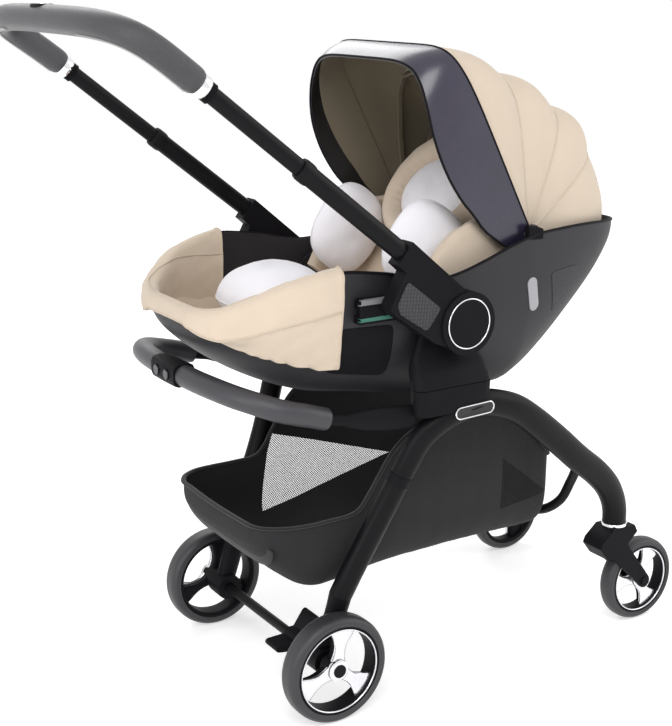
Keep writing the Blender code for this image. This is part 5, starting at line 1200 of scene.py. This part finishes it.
class PRAM_OT_cushions(Operator):
    """Seat pad, backrest, head pillow, bolsters and leg cushion"""
    bl_idname = "pram.cushions"
    bl_label = "Cushions"

    def execute(self, context):
        self.seat_pad()
        rise = BACK_TOP - BACK_FOOT
        lean = rise / np.linalg.norm(rise)
        face = np.array([-lean[2], 0, lean[0]])
        foot = place(BACK_FOOT)
        self.backrest(foot, rise, face)
        self.head(foot + lean * HEAD_ALONG + face * HEAD_FORWARD, lean, face)
        for word, side in SIDES:
            middle = (foot + lean * BOLSTER_PLACE["along"] + face * BOLSTER_PLACE["forward"]
                      + np.array((0, side * BOLSTER_PLACE["side"], 0)))
            shape = cushion(middle, lean, (0.799, side * 0.10, -0.602), BOLSTER_SIZE, 0.03, seed=5 + side)
            self.loose_pad(f"bolster_{word}", f"body_bolster_{word}", f"bolster_piping_{word}", *shape)
        shape = cushion(place(LEG_PAD_PLACE), (1, 0, 0.10), (0, 1, 0), LEG_PAD_SIZE, 0.03, seed=9)
        self.loose_pad("leg_pad", "leg_cushion", "leg_pad_piping", *shape)
        return {"FINISHED"}

    @staticmethod
    def loose_pad(name, node, cord, points, seam):
        """White cushion blown up as cloth, with a round cord sewn into its seam."""
        pad = Form().grid(points).make(name, finish("white jersey"), smooth=80)
        settle(inflate(pad, PAD_SWELL), "seat", node, slot="white_cloth")
        ring = curve_through(seam[::2], 100, loop=True)
        add(tube(ring, sizes().piping, (0.02, 0.03, 1), 8, loop=True), cord, "white piping", "seat",
            slot="white_cloth", loop=True)

    @staticmethod
    def seat_pad():
        """Pad that fills the bottom of the shell, with sewn channels across its crowned top."""
        x = np.linspace(-0.2350, BACK_FOOT[0] + 0.0008, 90)
        under = hull(shell_ribs(x), SHELL_WALL + 0.0030, 41, SEAT_TOP)
        share = np.linspace(1, -1, 43)[1:-1]
        reach = under[:, -1, 1][:, None]
        top = np.stack([np.broadcast_to(under[:, :1, 0], (len(x), len(share))), reach * share[None],
                        SEAT_TOP + SEAT_CROWN * (1 - share[None] ** 2) + 0 * reach], axis=2)
        channel = np.exp(-((np.mod(x + 0.0200, 0.0600) - 0.0300) / 0.0030) ** 2)[:, None]
        top[..., 2] -= 0.0026 * channel * (1 - share[None] ** 6) + np.abs(ripple(top, 0.0008, 0.06, 21))
        piece = add(np.concatenate([under, top], axis=1), "seat_pad", "beige cloth", "seat", "seat_base",
                    slot="beige_cloth", smooth=60)

    @staticmethod
    def backrest(foot, rise, face):
        """Winged board carried from its foot to its top, with one seam sewn across its face."""
        table = curve_through(np.array(BACK), 44)
        shape = np.stack([curve_through(backrest_section(half, wing), 96, loop=True)
                          for _, half, wing in table])
        points = (foot + rise * table[:, :1, None].reshape(-1, 1, 1) + shape[..., :1] * np.array([0, 1.0, 0])
                  + shape[..., 1:] * face)
        seam = np.exp(-((table[:, 0] - 0.46) / 0.02) ** 2)[:, None]
        points -= face * (0.0022 * seam * (shape[..., 1] > -0.001))[..., None]
        points += face * ripple(points, 0.0009, 0.06, 31)[..., None]
        piece = add(points, "backrest_pad", "beige cloth", "seat", "backrest", slot="beige_cloth", smooth=60)

    @staticmethod
    def head(centre, lean, face):
        """Ring pillow: an oval ring of oval section, gathered along its inner seam; a round pad fills it."""
        turn = full_turn(120)
        cross = np.array([0, 1.0, 0])
        outward = np.sin(turn)[:, None] * lean + np.cos(turn)[:, None] * cross
        high, wide = HEAD_RING
        middle = centre + high * np.sin(turn)[:, None] * lean + wide * np.cos(turn)[:, None] * cross
        angle = full_turn(36)
        gather = 0.0010 * np.sin(turn * 34)[:, None] * np.clip(-np.cos(angle), 0, 1)[None] ** 2
        stuffed = HEAD_RING_THICK[0] + 0.0100 * np.clip(np.sin(turn), 0, 1)[:, None] + gather
        middle = middle + lean * (0.0070 * np.clip(np.sin(turn), 0, 1))[:, None]
        points = (middle[:, None] + outward[:, None] * (stuffed * np.cos(angle)[None])[..., None]
                  + face * ((HEAD_RING_THICK[1] + gather) * np.sin(angle))[..., None])
        points += face * ripple(points, 0.0008, 0.06, 41)[..., None]
        ring = add(points, "head_ring", "beige cloth", "seat", "head_pillow", slot="beige_cloth", smooth=80,
                   loop=True)
        seam = curve_through(points[:, 0], 120, loop=True)
        add(tube(seam, 0.0013, face, 8, loop=True), "head_ring_piping", "beige piping", "seat",
            slot="beige_cloth", loop=True)
        rows, _ = cushion(centre + face * 0.0080, lean, cross, HEAD_PAD_SIZE, 0.0, 2.0, seed=15,
                          crease=0.0006)
        pad = add(rows, "head_pad_skin", "white jersey", "seat", "head_pad", slot="white_cloth", smooth=80)


# Handle

def arm_place(along, above, y):
    """Side-view place from the hub: along the tube towards the grip, and square to it."""
    x = HUB[0] - along * math.cos(HANDLE_PITCH) + above * math.sin(HANDLE_PITCH)
    z = HUB[1] + along * math.sin(HANDLE_PITCH) + above * math.cos(HANDLE_PITCH)
    return place(np.stack([x + 0 * y, y + 0 * x, z + 0 * y], axis=-1))


def tube_run(start, end, side, steps):
    """Points along one side's telescopic tube, from one distance to another."""
    along = np.linspace(start, end, steps)
    return arm_place(along, np.full(steps, TUBE_ABOVE), np.full(steps, side * HANDLE_Y))


def grip_line(count):
    """Half of the grip's middle line: a Bezier curve from the foam's end to the middle."""
    a = arm_place(np.array(GRIP_START), np.array(TUBE_ABOVE), np.array(HANDLE_Y))
    b = arm_place(np.array(GRIP_START + 0.1031), np.array(TUBE_ABOVE), np.array(HANDLE_Y))
    c = np.array([a[0] - 0.1097, 0.2669, a[2] + 0.0740])
    d = c * (1, 0, 1)
    t = np.linspace(0, 1, count)[:, None]
    return (1 - t) ** 3 * a + 3 * t * (1 - t) ** 2 * b + 3 * t * t * (1 - t) * c + t ** 3 * d


def grip_axes(half):
    """Tangent, up and side along half of the grip, with the side carried from point to point."""
    tangent = np.gradient(half, axis=0)
    tangent /= np.linalg.norm(tangent, axis=1)[:, None]
    side = np.zeros_like(half)
    held = np.array((0.0, 1.0, 0.0))
    for i, t in enumerate(tangent):
        held = held - t * (held @ t)
        held /= np.linalg.norm(held)
        side[i] = held
    return tangent, np.cross(side, tangent), side


class PRAM_OT_handle(Operator):
    """Arms, hub buttons, telescopic tubes and the stitched grip"""
    bl_idname = "pram.handle"
    bl_label = "Handle"

    def execute(self, context):
        for word, side in SIDES:
            rounded_node(f"handle_arm_{word}", "black plastic", "black_plastic", 0.0045)
            rounded_node(f"hub_button_{word}", "black plastic", "black_plastic", 0.0008)
            centre = place((HUB[0], side * HUB_FACE_Y, HUB[1]))
            profile = oval(0.0010, 0.0009) + (HUB_RING_R, 0.0)
            add(turned(profile, centre, count=96), f"hub_ring_{word}", "chrome", f"hub_press_{word}",
                slot="chrome", loop=True)
            self.pad(word, side)
            self.stages(word, side)
        self.bar()
        self.grip()
        return {"FINISHED"}

    @staticmethod
    def pad(word, side):
        """Diamond-pressed pad on the arm's outer face: a rounded plate with a domed edge."""
        flat = shrunk(block(ARM_PAD, 0.006), (1.0, 1.0, 0.95, 0.60, 0.03))
        rise = np.array([-0.0010, 0.0007, 0.0012, 0.0012, 0.0012])
        y = np.broadcast_to(side * (ARM_OUTER_Y + rise[:, None]), flat.shape[:2])
        add(arm_place(flat[..., 0], flat[..., 1], y), f"arm_pad_{word}", "diamond grip", "handle_arms",
            slot="black_plastic")

    @staticmethod
    def stages(word, side):
        """Middle tube with its collar, and the bright ring and ridged neck at the grip's end."""
        line = np.vstack([tube_run(MID_START, MID_END - 0.0210, side, 6),
                          tube_run(MID_END - 0.0205, MID_END, side, 6)])
        grow = np.concatenate([np.zeros(6), [0.0010, 0.0018, 0.0018, 0.0018, 0.0018, 0.0008]])
        ring = oval(1, 1, 32)[None] * np.stack([MID_A + grow, MID_B + grow], axis=1)[:, None]
        add(carried(line, ring), f"mid_stage_{word}", "tube paint", "handle_mid", f"mid_tube_{word}",
            slot="tube", smooth=30)
        neck = tube_run(GRIP_START - 0.0240, GRIP_START - 0.0120, side, 41)
        ridge = 0.0010 * np.abs(np.sin(np.linspace(0, 5 * math.pi, 41)))
        ring = oval(1, 1, 28)[None] * np.stack([TOP_A + 0.0016 + ridge, TOP_B + 0.0022 + ridge],
                                               axis=1)[:, None]
        add(carried(neck, ring), f"grip_neck_{word}", "black plastic", "handle_top", slot="black_plastic",
            smooth=60)
        band = tube_run(GRIP_START - 0.0125, GRIP_START + 0.0010, side, 7)
        grow = np.array([0.0036, 0.0044, 0.0046, 0.0046, 0.0046, 0.0044, 0.0040])
        ring = oval(1, 1, 36)[None] * np.stack([TOP_A + grow, TOP_B + grow + 0.0030], axis=1)[:, None]
        add(carried(band, ring), f"grip_band_{word}", "chrome", "handle_top", slot="chrome", smooth=30)

    @staticmethod
    def bar():
        """Both upper tubes, from inside the middle tubes to the ends of the grip."""
        form = Form()
        for _, side in SIDES:
            form.grid(carried(tube_run(TOP_START, GRIP_START + 0.0100, side, 8), oval(TOP_A, TOP_B, 32)))
        add(form, "top_stage", "tube paint", "handle_top", "handle_bar", slot="tube")

    @staticmethod
    def grip():
        """Sleeve round the bow with a sunk seam under it, crossed stitches, and the latch in its housing."""
        half = grip_line(90)
        tangent, up, side = grip_axes(half)
        scale = np.ones(len(half))
        scale[:4] = (0.86, 0.95, 0.985, 1.0)
        ring = oval(GRIP_R, GRIP_R, 32)
        rings = half[:, None] + scale[:, None, None] * (ring[None, :, :1] * up[:, None]
                                                        + ring[None, :, 1:] * side[:, None])
        rings[-1, :, 1] = 0
        whole = np.concatenate([rings * (1, -1, 1), rings[-2::-1]])
        seam = np.cos(full_turn(32) - math.pi)
        sink = 0.0010 * np.clip(seam, 0, 1) ** 40
        middle = np.concatenate([half * (1, -1, 1), half[-2::-1]])[:, None]
        away = whole - middle
        whole = whole - away / np.linalg.norm(away, axis=2)[..., None] * sink[None, :, None]
        add(whole, "grip_sleeve", "grip leather", "handle_top", "handle_grip", slot="leather", smooth=60)
        rounded_node("grip_button", "chrome", "button", 0.0010)
        at_step = np.linspace(3, 70, sizes().stitches)

        def pick(values):
            """Values of the line at each stitch."""
            steps = np.arange(len(half))
            return np.stack([np.interp(at_step, steps, values[:, k]) for k in range(3)], axis=1)

        along, down, wide = pick(tangent), -pick(up), pick(side)
        base = pick(half) + down * (GRIP_R + 0.0001)
        form = Form()
        for flip in (1, -1):
            for slant in (0.0010, -0.0010):
                start = base - wide * 0.0030 + along * slant
                end = base + wide * 0.0030 - along * slant
                for a, b in zip(start, end):
                    run = np.linspace(a, b, 3)
                    run[1] += down[0] * 0.0006
                    form.grid(tube(run * (1, flip, 1), STITCH_R, (0.1, 0.2, 1), 5))
        add(form, "grip_stitches", "thread", "handle_top", slot="leather", smooth=80)
        top = half[-1] + np.array((0, 0, GRIP_R))
        waves = np.stack([np.cos(full_turn(48)), np.sin(full_turn(48))], axis=1)
        shape = np.array((0.0125, 0.0230)) * np.sign(waves) * np.abs(waves) ** 0.7
        levels = np.array([[1.0, -0.0110], [1.0, -0.0030], [0.95, -0.0004], [0.88, 0.0002], [0.72, 0.0000]])
        plate = (top + levels[:, :1, None] * shape[None, :, :1] * (1, 0, 0)
                 + levels[:, :1, None] * shape[None, :, 1:] * (0, 1, 0) + levels[:, 1:, None] * (0, 0, 1))
        add(plate, "button_housing", "black plastic", "handle_top", slot="black_plastic", smooth=50)


# Canopy

def hoop(half, radius, turn, power):
    """Square-shouldered hoop: across = half r cos t, out = radius r sin t, r = (|cos|^p + |sin|^p)^(-1/p)."""
    c, s = np.cos(turn), np.sin(turn)
    reach = (np.abs(c) ** power + np.abs(s) ** power) ** (-1 / power)
    return half * reach * c, radius * reach * s


def fan(radius, angle, y):
    """Points at a radius and angle in degrees from the canopy's pivot line."""
    turn = np.radians(angle)
    x = CANOPY[0] + radius * np.cos(turn)
    z = CANOPY[1] + radius * np.sin(turn)
    return place(np.stack(np.broadcast_arrays(x, y, z), axis=-1))


def hoop_turns(count, low):
    """Turns round a hoop, closer at its shoulders; low is the share left out at each end."""
    share = np.linspace(low, 1, (count + 1) // 2)
    half = math.pi / 2 * (share - 0.5 * np.sin(4 * math.pi * share) / (4 * math.pi))
    return np.concatenate([half, math.pi - half[-2::-1]])


def visor_skin(offset, f, turns):
    """Visor between its rear hoop (f = 0) and its swept front edge (f = 1), bowed outwards a little."""
    t = turns[None]
    radius = VISOR_R + VISOR_REACH * f
    power = 8.0 - 2.5 * f
    bow = 0.0022 * np.sin(math.pi * f) * np.sin(t)
    y, r = hoop(VISOR_HALF + offset + bow, radius + offset + bow, t, power)
    front = np.interp(np.clip(r / radius, 0, 1), *zip(*VISOR_FRONT))
    return fan(r, SEAMS[0][0] + (front - SEAMS[0][0]) * f, -y)


def gore_skin(index, offset, rows, turns):
    """Cloth of one gore: its hoop runs from seam to seam, swollen by h sin(pi f^k) sin(t)^1.2."""
    billow, peak = BILLOWS[index]
    first, last = np.array(SEAMS[index]), np.array(SEAMS[index + 1])
    f = np.linspace(0, 1, rows)[:, None]
    t = turns[None]
    angle, radius, half, power = (first[k] + (last[k] - first[k]) * f for k in range(4))
    swell = billow * np.sin(math.pi * f ** (math.log(0.5) / math.log(peak))) * np.sin(t) ** 1.2
    near_seam = np.exp(-(f / 0.16) ** 2) + np.exp(-((1 - f) / 0.16) ** 2)
    crease = sizes().pucker * near_seam * np.sin(t * 46 + index) * np.sin(math.pi * f) ** 0.5
    drape = 0.0020 * np.sin(t * 7 + 1.7 * index) * np.sin(math.pi * f) ** 2
    out = swell + crease + drape * (billow > 0.01)
    y, r = hoop(half + offset + 0.25 * out, radius + out + offset, t, power)
    return fan(r, angle, -y)


class PRAM_OT_canopy(Operator):
    """Visor, ribs, four gores of cloth and their piping"""
    bl_idname = "pram.canopy"
    bl_label = "Canopy"

    def execute(self, context):
        turns = hoop_turns(121, 0.030)
        depth = np.linspace(0, 1, 26)[:, None]
        outer, inner = (visor_skin(way * VISOR_T / 2, depth, turns) for way in (1, -1))
        form = Form().sheet(outer, inner, (0, 1))
        for _, side in SIDES:
            eye = [(r, side * (EYE_Y + out)) for r, out in (
                (0.0165, 0.0), (0.0165, 0.0045), (0.0155, 0.0058), (0.0070, 0.0060), (0.0062, 0.0050),
                (0.0062, 0.0))]
            form.grid(turned(eye, CANOPY_PIVOT, count=40), loop=True)
        visor = form.make("visor_peak", finish("visor satin"), finish("slot black"), smooth=50)
        settle(visor, "visor", "canopy_visor", slot="visor")
        depth = np.linspace(0, 1, 20)[:, None] * (0.62 + 0.34 * np.sin(turns) ** 3)[None]
        form = Form().sheet(visor_skin(-0.0019, depth, turns), visor_skin(-0.0031, depth, turns))
        add(form, "visor_lining", "canopy lining", "visor", slot="visor", smooth=50)
        for name, row, r in (("front", -1, 0.0019), ("rear", 0, 0.0014)):
            add(tube(outer[row], r, (0, 0, 1), 10), f"visor_edge_{name}", "black plastic", "visor",
                slot="visor")
        for index in range(3):
            rounded_node(f"canopy_rib_{index + 1}", "canopy lining", "black_plastic", 0.0006)
        self.cloth()
        return {"FINISHED"}

    @staticmethod
    def cloth():
        """Four gores, each a stretched sheet that squashes towards its seam, and the piping between."""
        turns = hoop_turns(141, 0.060)
        riders = ("visor", "rib_1", "rib_2", "seat")
        for index in range(4):
            outer, inner = (gore_skin(index, offset, 22, turns) for offset in (CLOTH_T, 0.0))
            form = Form().sheet(outer, inner, (0, 1))
            gore = form.make(f"gore_cloth_{index + 1}", finish("beige cloth"), finish("canopy lining"),
                             smooth=60)
            settle(gore, riders[index], f"canopy_gore_{index + 1}", slot="beige_cloth")
            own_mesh(gore)
        for index, body in ((1, "rib_1"), (2, "rib_2"), (3, "rib_3"), (4, "seat")):
            angle, radius, half, power = SEAMS[index]
            y, r = hoop(half + CLOTH_T, radius + CLOTH_T, turns, power)
            add(tube(fan(r, angle, -y), sizes().piping, (0, 0.02, 1), 8), f"gore_piping_{index}",
                "beige piping", body, slot="beige_cloth")


# Stage

def seen_directly(tree):
    """1 for camera, glossy and transmission rays, 0 for the rays that only carry light."""
    path = tree.nodes.new("ShaderNodeLightPath").outputs
    seen = path["Is Camera Ray"]
    for ray in ("Is Glossy Ray", "Is Transmission Ray"):
        seen = node(tree, "ShaderNodeMath", {0: seen, 1: path[ray]}, operation="MAXIMUM").outputs[0]
    return seen


class PRAM_OT_stage(Operator):
    """Floor, lamps, world and camera"""
    bl_idname = "pram.stage"
    bl_label = "Stage"

    def execute(self, context):
        scene = context.scene
        scene.view_settings.view_transform = "Standard"
        reach = np.linspace(-FLOOR_REACH, FLOOR_REACH, 3)
        flat = np.stack(np.meshgrid(reach, reach, indexing="ij") + [np.zeros((3, 3))], axis=2)
        floor = Form().grid(flat, wrap=False, caps=False).make("floor", self.floor_material())
        self.world(scene)
        for lamp in LAMPS:
            self.lamp(*lamp)
        self.camera(scene)
        return {"FINISHED"}

    @staticmethod
    def floor_material():
        """White floor whose own glow is full where it is seen and half where it only gives light."""
        made, tree, shader, _ = blank_material("pale floor")
        shader.inputs["Base Color"].default_value = (0.90, 0.90, 0.90, 1)
        shader.inputs["Roughness"].default_value = 0.9
        shader.inputs["Specular IOR Level"].default_value = 0.1
        shader.inputs["Emission Color"].default_value = (1, 1, 1, 1)
        glow = node(tree, "ShaderNodeMapRange",
                    {"Value": seen_directly(tree), "To Min": 0.22, "To Max": 0.46})
        tree.links.new(glow.outputs[0], shader.inputs["Emission Strength"])
        return made

    @staticmethod
    def world(scene):
        """White surroundings, weaker where they only give light."""
        world = bpy.data.worlds.new("studio")
        world.use_nodes = True
        scene.world = world
        tree = world.node_tree
        light = tree.nodes["Background"]
        strength = node(tree, "ShaderNodeMapRange",
                        {"Value": seen_directly(tree), "To Min": 0.62, "To Max": 1.0}).outputs[0]
        light.inputs["Color"].default_value = (1, 1, 1, 1)
        tree.links.new(strength, light.inputs["Strength"])

    @staticmethod
    def lamp(name, where, look_at, size, power):
        """Square lamp turned to face a place."""
        data = bpy.data.lights.new(name, "AREA")
        data.size = size
        data.energy = power
        lamp = bpy.data.objects.new(name, data)
        bpy.context.scene.collection.objects.link(lamp)
        lamp.location = where
        lamp.rotation_euler = (Vector(look_at) - Vector(where)).to_track_quat("-Z", "Y").to_euler()

    @staticmethod
    def camera(scene):
        """Camera at the place fitted to the view."""
        data = bpy.data.cameras.new("camera")
        data.sensor_fit = "VERTICAL"
        data.sensor_height = CAMERA_SENSOR
        data.lens = CAMERA_LENS
        camera = bpy.data.objects.new("camera", data)
        scene.collection.objects.link(camera)
        camera.location = place(CAMERA_PLACE)
        camera.rotation_euler = (math.radians(90 - CAMERA_DOWN), 0.0, math.radians(CAMERA_TURN))
        scene.camera = camera


class PRAM_PT_panel(Panel):
    """Lists the pram's groups of pieces"""
    bl_label = "Pram"
    bl_idname = "PRAM_PT_panel"
    bl_space_type = "VIEW_3D"
    bl_region_type = "UI"
    bl_category = "Pram"

    def draw(self, context):
        for step in STEPS:
            self.layout.operator(step.bl_idname)
        for group in (context.scene.pram_colours, context.scene.pram_sizes):
            for key in group.bl_rna.properties.keys():
                if key not in ("rna_type", "name"):
                    self.layout.prop(group, key)


STEPS = (PRAM_OT_stage, PRAM_OT_frame, PRAM_OT_wheels, PRAM_OT_carry_bar, PRAM_OT_basket, PRAM_OT_shell,
         PRAM_OT_cushions, PRAM_OT_handle, PRAM_OT_canopy)
CLASSES = (PramColours, PramSizes) + STEPS + (PRAM_PT_panel,)


def register():
    """Add the classes and the two groups of settings."""
    for item in CLASSES:
        bpy.utils.register_class(item)
    bpy.types.Scene.pram_colours = PointerProperty(type=PramColours)
    bpy.types.Scene.pram_sizes = PointerProperty(type=PramSizes)


def unregister():
    """Take the settings and the classes away again."""
    del bpy.types.Scene.pram_sizes
    del bpy.types.Scene.pram_colours
    for item in reversed(CLASSES):
        bpy.utils.unregister_class(item)


def main():
    """Build every group of pieces in its order."""
    register()
    for step in STEPS:
        family, word = step.bl_idname.split(".")
        getattr(getattr(bpy.ops, family), word)()


if __name__ == "__main__":
    main()
